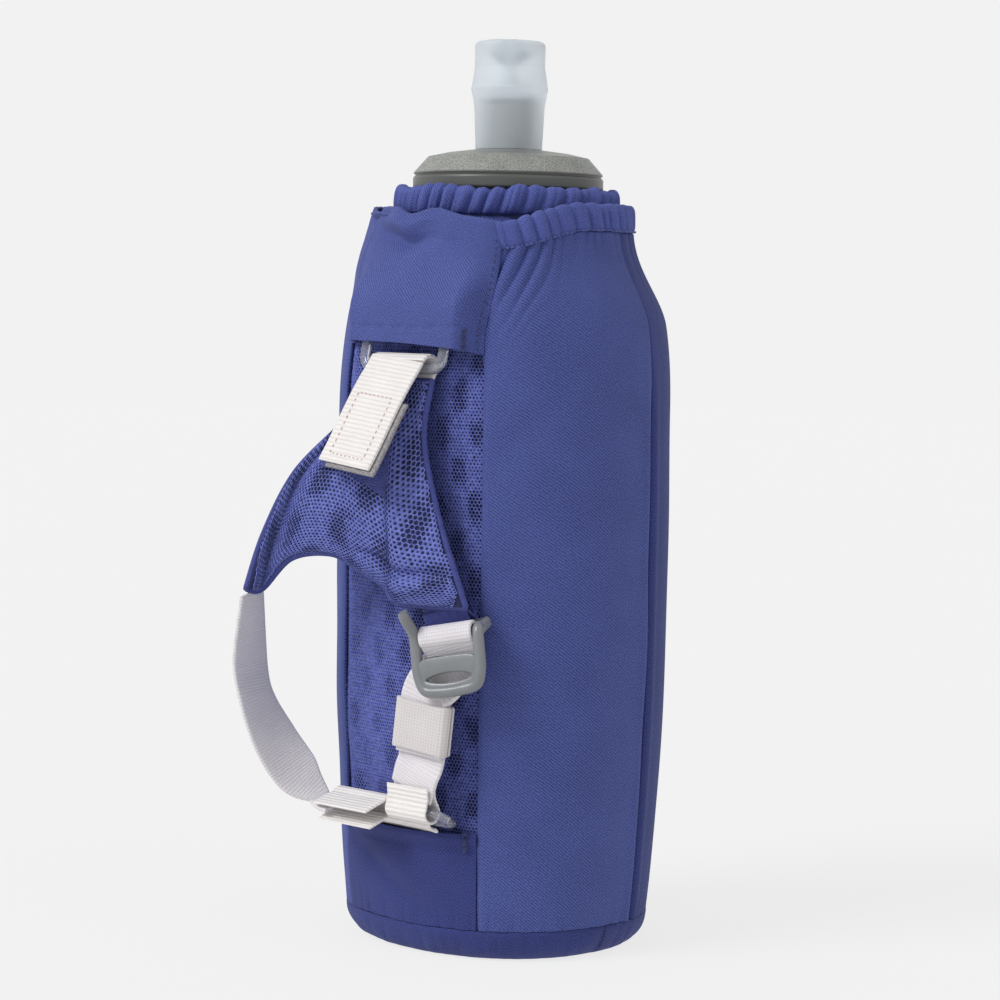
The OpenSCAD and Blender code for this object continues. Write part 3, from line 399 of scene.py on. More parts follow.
def grid_faces(rows, columns, round_rows=False, round_columns=False):
    """Four-sided faces between neighbouring points of a grid, closed round either way if asked."""
    i = np.arange(rows if round_rows else rows - 1)[:, None]
    j = np.arange(columns if round_columns else columns - 1)[None, :]
    a, b = (i * columns + j), ((i + 1) % rows * columns + j)
    c, d = ((i + 1) % rows * columns + (j + 1) % columns), (i * columns + (j + 1) % columns)
    return np.stack([a, b, c, d], -1).reshape(-1, 4)


def tube_faces(rows, around, closed):
    """Faces of a tube: rows of points, each around long, closed to a loop or capped at both ends."""
    faces = grid_faces(rows, around, closed, True).tolist()
    if not closed:
        faces += [list(range(around))[::-1], [(rows - 1) * around + k for k in range(around)]]
    return faces


def facing(grid):
    """Unit normals of a grid: the cross product of its two directions."""
    return unit(np.cross(np.gradient(grid, axis=0), np.gradient(grid, axis=1)))


# %% [markdown]
# The sleeve itself is an oval with squared sides, narrower at the foot and drawn to a circle by the
# pocket's elastic. The formula is the same as that of the solids, so that cloth and solid lie together.

# %% The sleeve's formula
HALF_W, HALF_D, SQUARE = 44.5, 40.5, 2.2
WALL_TOP, WINDOW_TOP, WINDOW_FOOT, BASE_SEAM = 184.5, 158.0, 33.0, 8.0
HEM_H, HEM_T, POCKET_R, DIP = 7.4, 3.6, 33.6, 2.8
NECK_R, NECK_TOP = 27.8, 199.0


def unit(v):
    v = np.asarray(v, float)
    return v / np.maximum(np.linalg.norm(v, axis=-1, keepdims=True), 1e-9)


def ease(t):
    """0 before 0, 1 after 1, and a smooth turn between them."""
    c = np.clip(t, 0, 1)
    return c * c * (3 - 2 * c)


def mix(a, b, t):
    return a + (b - a) * t


def hill(x, at, width):
    """Smooth rise that is 1 at one value of x and gone about two widths off."""
    return np.exp(-((x - at) / width) ** 2)


def signed(v, power):
    """Power of a number's size that keeps its sign."""
    return np.sign(v) * np.abs(v) ** power


def girth(z):
    """Share of the full width at height z: it shrinks with the square of the depth below 90 mm and with a
    power of 2.2 of the height above 140 mm."""
    return 1 - 0.1 * (np.maximum(0, 90 - z) / 90) ** 2 - 0.2 * (np.maximum(0, z - 140) / 50) ** SQUARE


def oval(turn, w, d):
    """Point of the squared oval: each axis times the cosine or sine to the power of 2 over 2.2."""
    c, s = np.cos(np.radians(turn)), np.sin(np.radians(turn))
    return w * signed(c, 2 / SQUARE), d * signed(s, 2 / SQUARE)


def round_back(turn):
    """1 round the side and back, where the pocket is gathered, and 0 across the front."""
    t = np.mod(turn, 360)
    return np.where(t > 270, ease((t - 302) / 50), np.where(t > 120, ease((181 - t) / 50), 1.0))


def sleeve(turn, z, out=0.0):
    """Point of the sleeve's outer face, out millimetres proud of it."""
    turn, z, out = np.broadcast_arrays(np.asarray(turn, float), np.asarray(z, float), np.asarray(out, float))
    back = round_back(turn)
    puff = 3.4 * (1 - back) * ease((z - 168) / 26) + out
    x, y = oval(turn, HALF_W * girth(z) + puff, HALF_D * girth(z) + puff)
    draw = back * ease((z - 163) / 28)
    c, s = np.cos(np.radians(turn)), np.sin(np.radians(turn))
    return np.stack([mix(x, (POCKET_R + out) * c, draw), mix(y, (POCKET_R + out) * s, draw), z], -1)


def turn_at(x):
    return math.degrees(math.acos((x / HALF_W) ** (SQUARE / 2)))


LEFT_SEAM, RIGHT_SEAM, PLEAT = 180 + turn_at(23), 360 - turn_at(26.5), 2.0
SIDE_PLEAT, PER_DEGREE = 14.0, 0.7


def right_seam(z):
    return RIGHT_SEAM + 6 * ease((z - WINDOW_TOP) / 26)


def mouth(turn):
    """Height where the pocket's hem starts: low at the strap-side seam and high round the back."""
    return WALL_TOP - DIP + 2 * DIP * ease(np.mod(turn + 720 - RIGHT_SEAM, 360) / 50)


# %% [markdown]
# Gathered cloth makes plump ridges with sharp valleys, and no two are the same. A ridge pattern is worked
# out once for a whole seam: valleys at uneven steps, and between two of them half a sine wave, rounded by a
# power below one.

# %% Gathers
def gathers(s, pitch, seed, round_power=0.7):
    """Height from 0 to 1 at distances s, with random valleys about pitch apart and random ridge heights."""
    rng = np.random.default_rng(seed)
    span = s.max() - s.min()
    steps = rng.uniform(0.6, 1.45, int(span / pitch * 1.3) + 4) * pitch
    valleys = s.min() - pitch * 0.4 + np.concatenate([[0], np.cumsum(steps)])
    height = rng.uniform(0.55, 1.0, len(valleys))
    k = np.clip(np.searchsorted(valleys, s) - 1, 0, len(valleys) - 2)
    t = (s - valleys[k]) / (valleys[k + 1] - valleys[k])
    return np.sin(np.pi * np.clip(t, 0, 1)) ** round_power * height[k]


def swell(x, y, size, seed, waves=7):
    """Slow random relief between about -1 and 1: a sum of slanting sine waves of about one size."""
    rng = np.random.default_rng(seed)
    total = 0
    for _ in range(waves):
        heading, length = rng.uniform(0, 2 * np.pi), size * rng.uniform(0.7, 1.6)
        phase = rng.uniform(0, 2 * np.pi)
        total = total + np.sin((x * np.cos(heading) + y * np.sin(heading)) * 2 * np.pi / length + phase)
    return total / waves ** 0.5 / 1.5


def run_length(points):
    """Distance along a line of points."""
    return np.concatenate([[0], np.cumsum(np.linalg.norm(np.diff(points, axis=0), axis=1))])


CURL = np.radians(np.array([30, 60, 90, 125, 160, 195]))[None, :, None]


def cloth(name, turns, heights, relief, finish, nodes, wall=0.9, roll=0.0):
    """Panel of the sleeve on a grid of turns and heights, raised by relief, with a thin wall.
    A rolled panel turns its upper edge inwards in an arc of radius roll."""
    grid = sleeve(turns, heights)
    n = facing(grid)
    grid = grid + n * relief[..., None]
    if np.any(roll):
        edge, normal = grid[:, -1:], n[:, -1:]
        curl = edge + normal * roll * (np.cos(CURL) - 1) + np.array([0, 0, 1]) * roll * np.sin(CURL)
        grid = np.concatenate([grid, curl], 1)
    rows, columns = grid.shape[:2]
    u = run_length(grid[:, columns // 3])[:, None] + np.zeros((1, columns))
    v = run_length(grid[rows // 2])[None, :] + np.zeros((rows, 1))
    made = piece(name, grid, grid_faces(rows, columns), finish, "sleeve", np.stack([u, v], -1), nodes,
                 None, wall)
    declare(made, float(u.max()), float(v.max()))
    return grid


def declare(obj, wide, tall):
    """Prints a cut of cloth: its flat width and length in millimetres, and the piece's number of faces."""
    print(f"{obj.name}: cut {wide:.0f} by {tall:.0f} mm, {len(obj.data.polygons)} faces")


def spaced(steps, tight=0.0):
    """Shares from 0 to 1, closer together at both ends where tight is above 0."""
    t = np.linspace(0, 1, steps)
    return t - tight * np.sin(2 * np.pi * t) / (2 * np.pi)


def shares(rows, columns, tight=0.0):
    """Shares along the rows of a grid and along its columns, which may lie closer at both ends."""
    return np.linspace(0, 1, rows)[:, None], spaced(columns, tight)[None, :]


# %% [markdown]
# ## The walls of the sleeve
# The side wall is the pocket's outer layer. Its mouth is gathered on elastic, so short folds fan out below
# the hem, long and slanting near the front seam and fainter towards the side. A pressed pleat runs down
# the side where it meets the back.

# %% Side wall with the pocket
def fans(turn, z, top, seed, lean, reach):
    """Folds that hang from a gathered edge: ridges across it that lean with depth and fade over their reach."""
    depth = np.maximum(0, top - z)
    s = turn * 0.68 + lean * depth
    folds = gathers(s, 4.6, seed, 0.9) - 0.75
    return folds * np.exp(-(depth / reach) ** 1.6)


def pleat(turn, centre, width, depth):
    """Narrow valley along one turn, with a soft swell on each side of it."""
    t = (turn - centre) / width
    return -depth * np.exp(-t * t) + 0.45 * depth * hill(np.abs(t), 2.4, 1.4)


def puckers(turn, z, seed):
    """Small dents beside the seam with the base. One degree of turn is about PER_DEGREE of cloth."""
    return -0.35 * (1 - gathers(turn * PER_DEGREE, 5.2, seed, 0.6)) * hill(z, BASE_SEAM, 5.0)


i, j = shares(210, 200, 0.5)
z = mix(BASE_SEAM + 0.1, mouth(mix(right_seam(WALL_TOP), 360 + SIDE_PLEAT, i)), j)
turn = mix(right_seam(z) - 2.6 * ease((z - 150) / 10), 360 + SIDE_PLEAT, i)
near = 1 - ease((turn - 318) / 26)
relief = (fans(turn, z, mouth(turn), 5, 0.1 + 0.55 * near, 7 + 6 * near) * (0.6 + 1.3 * near)
          + pleat(turn, 360 + SIDE_PLEAT + 0.6, 1.5, 1.1) * ease((165 - z) / 40) + puckers(turn, z, 3)
          - 1.1 * ease((right_seam(z) - turn) / 1.0)
          + 0.28 * swell(turn * PER_DEGREE, z, 46, 2) * ease((z - 20) / 30)
          - 0.5 * hill(turn, right_seam(z), 1.2))
cloth("right_wall", turn, z, relief, shell_cloth, ["side_panel_right"])

# %% Left wall and back
i, j = shares(100, 180, 0.5)
turn = mix(180 - PLEAT, LEFT_SEAM, i)
z = mix(BASE_SEAM + 0.1, WALL_TOP + HEM_H + 2.0 - 2.6 * ease((i - 0.6) / 0.4), j)
below, lead = WALL_TOP + HEM_H + 2 - z, ease((i - 0.35) / 0.6)
relief = (pleat(turn, 180 - PLEAT - 0.6, 1.5, 0.9) * ease((165 - z) / 40) + puckers(turn, z, 13)
          + 0.3 * swell(turn * PER_DEGREE, z, 40, 12) - 0.45 * hill(turn, LEFT_SEAM, 1.2)
          + fans(turn, z, WALL_TOP + 8, 15, 0.2, 12) * 0.35 - 3.5 * (1 - ease(below / 19)) * lead)
cloth("left_wall", turn, z, relief, shell_cloth, ["side_panel_left"])

i, j = shares(270, 150, 0.6)
turn = mix(SIDE_PLEAT + 0.2, 180 - PLEAT - 0.2, i)
z = mix(BASE_SEAM + 0.1, mouth(turn), j)
pleats = pleat(turn, SIDE_PLEAT - 0.6, 1.5, 1.1) + pleat(turn, 180.6 - PLEAT, 1.5, 0.9)
relief = (fans(turn, z, mouth(turn), 8, 0.15, 13) * 0.6 + puckers(turn, z, 6) + pleats * ease((165 - z) / 40)
          + 0.35 * swell(turn * PER_DEGREE, z, 52, 7) * ease((z - 20) / 30))
cloth("back_wall", turn, z, relief, shaded_back_cloth, ["back_panel"])

# %% [markdown]
# ## The front
# A yoke of the same twill covers the top of the front. It hangs loose, so its mouth rolls in along the top
# with a soft dent below the roll, and its lower edge bulges over the clear ring.

# %% Yoke
RING_X, RING_Y, RING_Z = 3.0, -38.01, 163.0
RING_REACH = 12.9 + 3 + 0.7


def yoke_bulge(x, y, z):
    """How far the cloth stands forward over the ring: full across the ring and gone 6 mm beyond it."""
    room = 1.78 + 0.7 + 0.3 + 1.0 + 0.3
    need = np.maximum(0, y - (RING_Y - room))
    return need * (1 - ease((np.abs(x - RING_X) - RING_REACH) / 6)) * (1 - ease((z - WINDOW_TOP - 7) / 16))


i, j = shares(220, 130, 0.4)
rim = WALL_TOP + HEM_H + 3 - (3 + DIP) * i - 1.4 - 1.5 * hill(i, 0.40, 0.08) + 1.0 * hill(i, 0.58, 0.1)
z = mix(WINDOW_TOP + 0.8 * np.sin(np.pi * i) - 0.5 - 2.0 * i ** 2, rim, j)
turn = mix(LEFT_SEAM + 0.2, right_seam(z) - 0.2, i)
x, y, _ = np.moveaxis(sleeve(turn, z), -1, 0)
below = rim - z
relief = (yoke_bulge(x, y, z) - 3.0 * hill(below, 6.2, 2.5) * hill(i, 0.36, 0.24)
          + 1.0 * hill(below, 2.2, 1.7) * hill(i, 0.3, 0.22)
          - 2.8 * (1 - ease(below / 19)) * (1 - ease((i - 0.12) / 0.26))
          - 0.5 * hill(below, 2.8, 1.2) * hill(i, 0.5, 0.12)
          + 0.35 * swell(x, z, 30, 21) * ease((z - 162) / 12)
          - 0.45 * hill(turn, right_seam(z), 1.1)
          - 0.35 * hill(z - WINDOW_TOP, 3.6, 0.8) * np.abs(np.sin(x * 0.55)))
yoke_grid = cloth("yoke", turn, z, relief, shell_cloth, ["front_yoke"], wall=0.8,
                  roll=(1.2 + 0.8 * ease(i / 0.14))[..., None])

# %% Fold of cloth inside the yoke
t, j = shares(150, 24)
turn = mix(LEFT_SEAM - 22, float(right_seam(186.0)) + 6, t)
rim_z = 192.0 - 5.4 * ease((turn - LEFT_SEAM) / (RIGHT_SEAM - LEFT_SEAM))
outer = sleeve(turn, rim_z, -1.6)
angle = np.radians(turn)
inner = np.stack([27.2 * np.cos(angle), 27.2 * np.sin(angle), 192.4 + 0 * angle], -1)
grid = mix(outer, inner, j[..., None])
grid[..., 2] += -2.6 * np.sin(np.pi * j) + 0.5 * swell(turn * 0.5, j * 6, 7, 84) * np.sin(np.pi * j)
neck_fold = piece("neck_fold", grid, grid_faces(150, 24), shell_cloth, "sleeve",
                  np.stack([turn * 0.5 + 0 * j, 8 * j + 0 * turn], -1), (), None, 0.5)
declare(neck_fold, 76, 11)

# %% Lower front and base
i, j = shares(200, 90)
turn = mix(LEFT_SEAM + 0.2, RIGHT_SEAM - 0.2, i)
z = mix(BASE_SEAM + 0.1, WINDOW_FOOT + 0.4 - 0.5 * np.sin(np.pi * i), j)
x = sleeve(turn, z)[..., 0]
slant = (z - 8) * 0.9 + x * 0.5
relief = (-0.8 * hill(slant, 9, 3.0) * ease((22 - x) / 20) + 0.35 * swell(x, z, 22, 41) + puckers(turn, z, 43)
          + 0.5 * hill(z - WINDOW_FOOT, -1.2, 1.1) - 0.3 * hill(z - WINDOW_FOOT, -4, 0.9))
cloth("lower_front", turn, z, relief, shaded_foot_cloth, ["lower_panel"])

columns, rings, FOOT_SHARE = 360, 26, 0.62
t = np.linspace(0, 1, rings)
bent = np.clip(t / FOOT_SHARE, 0, 1)
bend = np.radians(90 * bent)
inset = 6 * (1 - np.sin(bend))
height = BASE_SEAM * (1 - np.cos(bend)) * (t <= FOOT_SHARE) + (t > FOOT_SHARE) * BASE_SEAM
turn = np.linspace(0, 360, columns, endpoint=False)[:, None]
lip = np.clip((t - FOOT_SHARE) / (1 - FOOT_SHARE), 0, 1)
sink = inset + lip * 5.2
depth = height - (lip > 0.15) * (lip - 0.15) * 4
dent = -0.5 * (1 - gathers(turn * PER_DEGREE, 5.2, 9, 0.6)) + 0.25 * swell(turn * PER_DEGREE, depth * 3, 16, 10)
dent = dent * np.sin(np.pi * bent) ** 0.7
wide = HALF_W * girth(BASE_SEAM) - sink + dent
deep = HALF_D * girth(BASE_SEAM) - sink + dent
x, y = oval(turn, wide, deep)
base = np.stack([x, y, depth + 0 * x], -1)
u = np.radians(turn) * 42 + 0 * t
v = run_length(base[0])[None, :] + 0 * turn
floor_loop = list(range(0, columns * rings, rings))[::-1]
base_cloth = piece("base_cloth", base, grid_faces(columns, rings, True).tolist() + [floor_loop], shaded_foot_cloth, "sleeve",
                   np.stack([u, v], -1), ["base_panel"], 60, 0.8)
declare(base_cloth, 84, 77)

# %% [markdown]
# ## Hems
# Both hems are tubes of cloth gathered on elastic. The tube's section is a rounded slot, carried round the
# neck or the pocket's mouth. The gathers push it out and lift its upper edge, so the rim looks crimped.

# %% Hems
def hem(name, centre, out, foot, tall, thick, ridge, lift, nodes, round_it, lean):
    """Tube of cloth: a rounded slot section, thick by tall, carried along centre points with unit directions
    out. It is pushed outwards by ridge, up at its rim by lift, and its gathers slant by lean."""
    around = 40
    a = np.linspace(np.pi, 3 * np.pi, around, endpoint=False)
    c, s = np.cos(a), np.sin(a)
    side = signed(c, 0.75) * thick / 2
    high = (signed(s, 0.55) * 0.5 + 0.5) * tall
    share = high / tall
    bulge = ridge[:, None] * (0.35 + 0.65 * np.sin(np.pi * share ** 0.8)) * np.where(c > -0.3, 1.0, 0.35)
    up_by = lift[:, None] * ease(share * 1.6 - 0.6)
    grid = centre[:, None] + out[:, None] * (side[None] + bulge)[..., None]
    grid[..., 2] = foot[:, None] + high[None] + up_by
    along = np.stack([-out[:, 1], out[:, 0], 0 * out[:, 0]], -1)
    grid = grid + along[:, None] * (lean * (share - 0.5) * tall)[None, :, None]
    grid = grid[:, ::-1]
    u = run_length(centre)[:, None] * 1.5 + 0 * share[None]
    v = np.concatenate([[0], np.cumsum(np.hypot(np.diff(side), np.diff(high)))])[None, ::-1] + 0 * u
    made = piece(name, grid, tube_faces(len(centre), around, round_it), hem_cloth, "sleeve",
                 np.stack([u, v], -1), nodes)
    return made, grid


turn = np.linspace(0, 360, 900, endpoint=False)
out = np.stack([np.cos(np.radians(turn)), np.sin(np.radians(turn)), 0 * turn], -1)
arc = np.radians(turn) * NECK_R
ridge = gathers(arc, 5.4, 51, 0.5)
fine = gathers(arc, 2.2, 52, 0.8)
blend_in = np.minimum(1, np.minimum(turn, 360 - turn) / 6)
ridge = (ridge * blend_in + 0.6 * (1 - blend_in)) * 2.6 - 1.7 + 0.5 * fine * blend_in
ridge = np.maximum(ridge, -0.9)
lift = 0.7 * swell(arc, 0 * arc, 17, 53) * blend_in + (ridge + 0.4) * 0.55 - 0.4
foot = 0 * turn + NECK_TOP - HEM_H - 0.4
neck_gather, _ = hem("neck_gather", out * NECK_R, out, foot, HEM_H, HEM_T, ridge, lift, ["neck_hem"], True, 0.3)
declare(neck_gather, 200, 11)

start, end = float(right_seam(WALL_TOP)) - 361.8, 180 - PLEAT - 0.2
turn = np.linspace(start, end, 760)
foot = mouth(turn)
mid, outer = sleeve(turn, WALL_TOP, -HEM_T / 2), sleeve(turn, WALL_TOP, 0.5)
out = unit((outer - mid) * [1, 1, 0])
centre = np.column_stack([mid[:, :2], foot])
arc = run_length(centre)
ends = np.minimum(1, np.minimum(arc, arc[-1] - arc) / 4)
ridge = np.maximum(gathers(arc, 3.3, 61, 0.55) * 1.9 - 1.2, -0.8)
lift = (0.4 * swell(arc, 0 * arc, 16, 62) + ridge * 0.5) * ends
pocket_gather, pocket_grid = hem("pocket_gather", centre, out, foot - 0.1, HEM_H, HEM_T - 0.2, ridge * ends, lift,
                                 ["pocket_hem"], False, -0.28)
declare(pocket_gather, 150, 11)

# %% [markdown]
# ## Stitches
# A machine stitch is a short loop of thread that dives into the cloth at both ends. Each one is a small
# spindle of a few faces, laid along a line on the surface: its radius follows half a sine wave.

# %% Stitches
def along_line(at, s, line):
    """Points of a line at the distances at, where s holds the distance of each of its own points."""
    return np.stack([np.interp(at, s, line[:, k]) for k in range(3)], -1)


def stitches(name, path, away, reach, gap, radius, finish, body):
    """Row of stitches along a path, raised towards away: each is reach long, with a gap to the next."""
    s = run_length(path)
    starts = np.arange(0, s[-1] - reach, reach + gap)
    t, a = np.linspace(0, 1, 5), np.linspace(0, 2 * np.pi, 6, endpoint=False)
    at = starts[:, None] + reach * t
    mid, lifted = along_line(at, s, path), unit(along_line(at, s, away))
    heading = unit(mid[:, -1:] - mid[:, :1])
    flank = unit(np.cross(heading, lifted))
    size = radius * (0.35 + 0.65 * np.sin(np.pi * t))[:, None]
    mid = mid + lifted * (radius * 1.2 * np.sin(np.pi * t) - radius * 0.2)[:, None]
    ring = mid[:, :, None] + flank[:, :, None] * (size * np.cos(a))[None, :, :, None]
    ring = ring + lifted[:, :, None] * (size * np.sin(a))[None, :, :, None]
    tips = [[0, 1, 2, 3], [0, 3, 4, 5], [27, 26, 25, 24], [29, 28, 27, 24]]
    one = np.concatenate([grid_faces(5, 6, False, True), tips])
    faces = (one[None] + 30 * np.arange(len(starts))[:, None, None]).reshape(-1, 4)
    piece(name, ring, faces, finish, body)


HEM_FOOT, SEAM_ROW, BELOW_ROLL = 24, 211, 110


def yoke_line(row, z):
    """Points of one row of the yoke's grid at the heights z, below its roll."""
    line = yoke_grid[row, :BELOW_ROLL]
    return np.stack([np.interp(z, line[:, 2], line[:, 0]), np.interp(z, line[:, 2], line[:, 1]), z], -1)


def tack(name, left, right, away):
    """Zigzag of stitches between two lines."""
    zig = np.arange(len(left))
    line = np.where((zig % 2 == 0)[:, None], left, right)
    line = along_line(np.linspace(0, len(left) - 1, 10 * len(left)), zig, line)
    stitches(name, line, away + 0 * line, 1.3, 0.2, 0.17, navy_thread, "sleeve")


along = np.arange(6, len(centre) - 6)
foot_line = pocket_grid[along, HEM_FOOT] + out[along] * 0.12
stitches("pocket_stitches", foot_line, out[along], 0.95, 0.4, 0.27, blue_thread, "sleeve")
seam_line, seam_out = yoke_grid[SEAM_ROW, 4:114], facing(yoke_grid)[SEAM_ROW, 4:114]
stitches("yoke_stitches", seam_line + seam_out * 0.05, seam_out, 1.1, 0.65, 0.17, navy_thread, "sleeve")
outward = sleeve(RIGHT_SEAM - 6, 100, 1) - sleeve(RIGHT_SEAM - 6, 100, 0)
rise = np.linspace(156.5, 162.2, 23)
tack("upper_tack", yoke_line(197, rise) + outward * 0.12, yoke_line(202, rise) + outward * 0.12, outward)
rise = np.linspace(28.6, 33.6, 23)
tack("lower_tack", sleeve(RIGHT_SEAM - 5.4, rise, 0.5), sleeve(RIGHT_SEAM - 3.4, rise, 0.5), outward)

# %% [markdown]
# ## The net window
# Warp-knitted mesh has staggered holes, each closed in by six short strands. A tiling of hexagons gives
# that net: neighbouring cells share their corners, and each cell is a ring of six faces round its hole. A
# hole is smaller where the knit is dense and larger in soft spots, which gives the cloth its mottled look.

# %% Net
PITCH_U, PITCH_V = 1.04, 0.88


def net(name, wide, tall, surface, opening, finish, body, wall=0.0, keep=None):
    """Hexagonal net over wide by tall millimetres. surface places flat points on the piece, opening gives
    each cell's hole as a share of the cell, and keep says which cells lie inside the outline."""
    row, col = np.meshgrid(np.arange(int(tall / PITCH_V) + 1), np.arange(int(wide / PITCH_U) + 1), indexing="ij")
    lattice = np.stack([2 * col + row % 2, 3 * row], -1).reshape(-1, 2)
    scale = np.array([PITCH_U / 2, PITCH_V / 3])
    if keep:
        lattice = lattice[keep(lattice * scale)]
    corner = np.array([(0, 2), (-1, 1), (-1, -1), (0, -2), (1, -1), (1, 1)])
    shared, which = np.unique((lattice[:, None] + corner).reshape(-1, 2), axis=0, return_inverse=True)
    which = which.reshape(-1, 6)
    rng = np.random.default_rng(7)
    mids, outer = lattice * scale, shared * scale
    outer = outer + rng.normal(0, 0.03, outer.shape)
    share = np.clip(opening(mids) + rng.normal(0, 0.05, len(mids)), 0.1, 0.8)
    hole = mids[:, None] + (outer[which] - mids[:, None]) * share[:, None, None]
    flat = np.concatenate([outer, hole.reshape(-1, 2)])
    sunk = np.concatenate([np.zeros(len(outer)), np.full(len(hole) * 6, -0.3)])
    inner = len(outer) + np.arange(len(hole) * 6).reshape(-1, 6)
    turned, inner_next = np.roll(which, -1, 1), np.roll(inner, -1, 1)
    faces = np.stack([which, turned, inner_next, inner], -1).reshape(-1, 4)
    made = piece(name, surface(flat, sunk), faces, finish, body, flat, (), None, wall)
    declare(made, wide, tall)


def spots(p, across, upward, seed):
    """Staggered soft spots from 0 to 1: the product of two slow waves, shifted from row to row."""
    row = p[:, 1] / upward
    whole = np.floor(row + 0.5)
    wave = np.cos(2 * np.pi * (p[:, 0] / across + 0.5 * whole)) * np.cos(np.pi * (row - whole))
    return ease((wave + 0.25 * swell(p[:, 0], p[:, 1], 9, seed) + 0.1) / 0.9)


front_turn = np.linspace(LEFT_SEAM - 3, RIGHT_SEAM + 3, 400)
front_arc = run_length(sleeve(front_turn, 100))
FRONT_WIDE, WINDOW_TALL = float(front_arc[-1]), WINDOW_TOP - WINDOW_FOOT + 4


def window_depth(turn, z):
    """How deep the net lies: shallow at its sewn edges, 2.7 mm over most of the window and 3.8 mm at the rings."""
    edge = np.minimum(turn - LEFT_SEAM, RIGHT_SEAM - turn)
    ends = np.minimum(z - WINDOW_FOOT, WINDOW_TOP - z)
    return mix(1.35, 2.7 + 1.1 * (1 - ease((ends - 4) / 14)), ease(edge / 12))


def on_window(flat, sunk):
    turn = np.interp(flat[:, 0], front_arc, front_turn)
    z = WINDOW_FOOT - 2 + flat[:, 1]
    slack = 0.35 * swell(flat[:, 0], z, 34, 71)
    return sleeve(turn, z, slack - window_depth(turn, z) + sunk)


net("window_net", FRONT_WIDE, WINDOW_TALL, on_window, lambda p: 0.42 + 0.32 * spots(p, 11.5, 9.5, 4), net_yarn,
    "sleeve")

i, j = shares(120, 160)
turn, z = mix(LEFT_SEAM - 2, RIGHT_SEAM + 2, i) + 0 * j, mix(WINDOW_FOOT - 2, WINDOW_TOP + 2, j) + 0 * i
flat_x = np.interp(turn, front_turn, front_arc)
grid = sleeve(turn, z, 0.35 * swell(flat_x, z, 34, 71) - window_depth(turn, z) - 0.75)
window_backing = piece("window_backing", grid, grid_faces(120, 160), net_backing, "sleeve",
                       np.stack([flat_x, z], -1), ["mesh_window"], None, 0.3)
declare(window_backing, FRONT_WIDE, WINDOW_TALL)

# %% [markdown]
# ## Ribbons, bars and bands
# Straps, ribbons, rings and the buckle's bars all come from one sweep. The section is a slot with round
# ends. A side vector at each point says which way the width runs, so a strap can twist as it goes.

# %% Sweep
def curve(points, steps):
    """Smooth curve through the points, by Catmull and Rom's cubic, with steps points to a span."""
    last = len(points) - 1
    return spline_at(points, np.linspace(0, last, last * steps + 1))


def spline_at(p, s):
    """Points of that curve at the places s, where 0 is its first point and 1 its second."""
    p = np.asarray(p, float)
    last = len(p) - 1
    i = np.clip(np.floor(s).astype(int), 0, last - 1)
    t = (s - i)[..., None]
    a, b, c, d = p[np.maximum(i - 1, 0)], p[i], p[i + 1], p[np.minimum(i + 2, last)]
    return (b + (c - a) * t / 2 + (a - 2.5 * b + 2 * c - d / 2) * t ** 2
            + (-a / 2 + 1.5 * b - 1.5 * c + d / 2) * t ** 3)


CORNERS, FLATS = np.linspace(-90, 90, 9), np.linspace(1, -1, 12)[1:-1]
SLOT_X = np.concatenate([np.ones(9), FLATS, -np.ones(9), -FLATS])
SLOT_TURN = np.radians(np.concatenate([CORNERS, 90 + 0 * FLATS, CORNERS + 180, 270 + 0 * FLATS]))


def sweep(path, side, width, thick, closed=False, ends=0.0):
    """Points, faces and map of a slot section carried along a path. Each point of the section is
    path + side * (x (width - thick) / 2 + cos a * thick / 2) + normal * sin a * thick / 2. An open sweep
    thins over its last ends millimetres."""
    path = np.asarray(path, float)
    count = len(path)
    if closed:
        heading = unit(np.roll(path, -1, 0) - np.roll(path, 1, 0))
    else:
        heading = unit(np.gradient(path, axis=0))
    side = np.broadcast_to(np.asarray(side, float), path.shape)
    side = unit(side - heading * (side * heading).sum(-1, keepdims=True))
    normal = np.cross(side, heading)
    width = np.broadcast_to(width, count).astype(float)
    thick = np.broadcast_to(thick, count).astype(float)
    far = run_length(path)
    if ends and not closed:
        thick = thick * (0.45 + 0.55 * np.sqrt(np.clip(np.minimum(far, far[-1] - far) / ends, 0, 1)))
    flat = (np.maximum(width - thick, 0) / 2)[:, None] * SLOT_X + np.cos(SLOT_TURN) * (thick / 2)[:, None]
    lift = np.sin(SLOT_TURN) * (thick / 2)[:, None]
    grid = path[:, None] + side[:, None] * flat[..., None] + normal[:, None] * lift[..., None]
    uv = np.stack([flat, far[:, None] + 0 * flat], -1)
    return grid, tube_faces(count, len(SLOT_X), closed), uv


def ribbon(name, path, side, width, thick, finish, slot, body, nodes=(), held=None, rests=(), **more):
    """Strap, tape or band along a path. Its cut is its mean width by the length of its path."""
    grid, faces, uv = sweep(path, side, width, thick, **more)
    made = piece(name, grid, faces, finish, body, uv, nodes, 50)
    if held:
        declare(made, float(np.mean(width)), float(run_length(np.asarray(path))[-1]))
    return made


def joined(name, parts, finish, body, nodes=(), sharp=50):
    """One piece from several closed shapes, each a grid of points with its faces."""
    points, faces, start = [], [], 0
    for grid, part_faces in parts:
        flat = np.asarray(grid).reshape(-1, 3)
        points.append(flat)
        faces += [[start + k for k in f] for f in part_faces]
        start += len(flat)
    return piece(name, np.concatenate(points), faces, finish, body, None, nodes, sharp)


# %% [markdown]
# ## The upper ring and its ribbons
# A clear ring hangs from a ribbon under the yoke. A white grosgrain tab rises from the hand pad, goes over
# the ring's lower bar and comes down in front as a flap that a touch fastener holds to the pad.

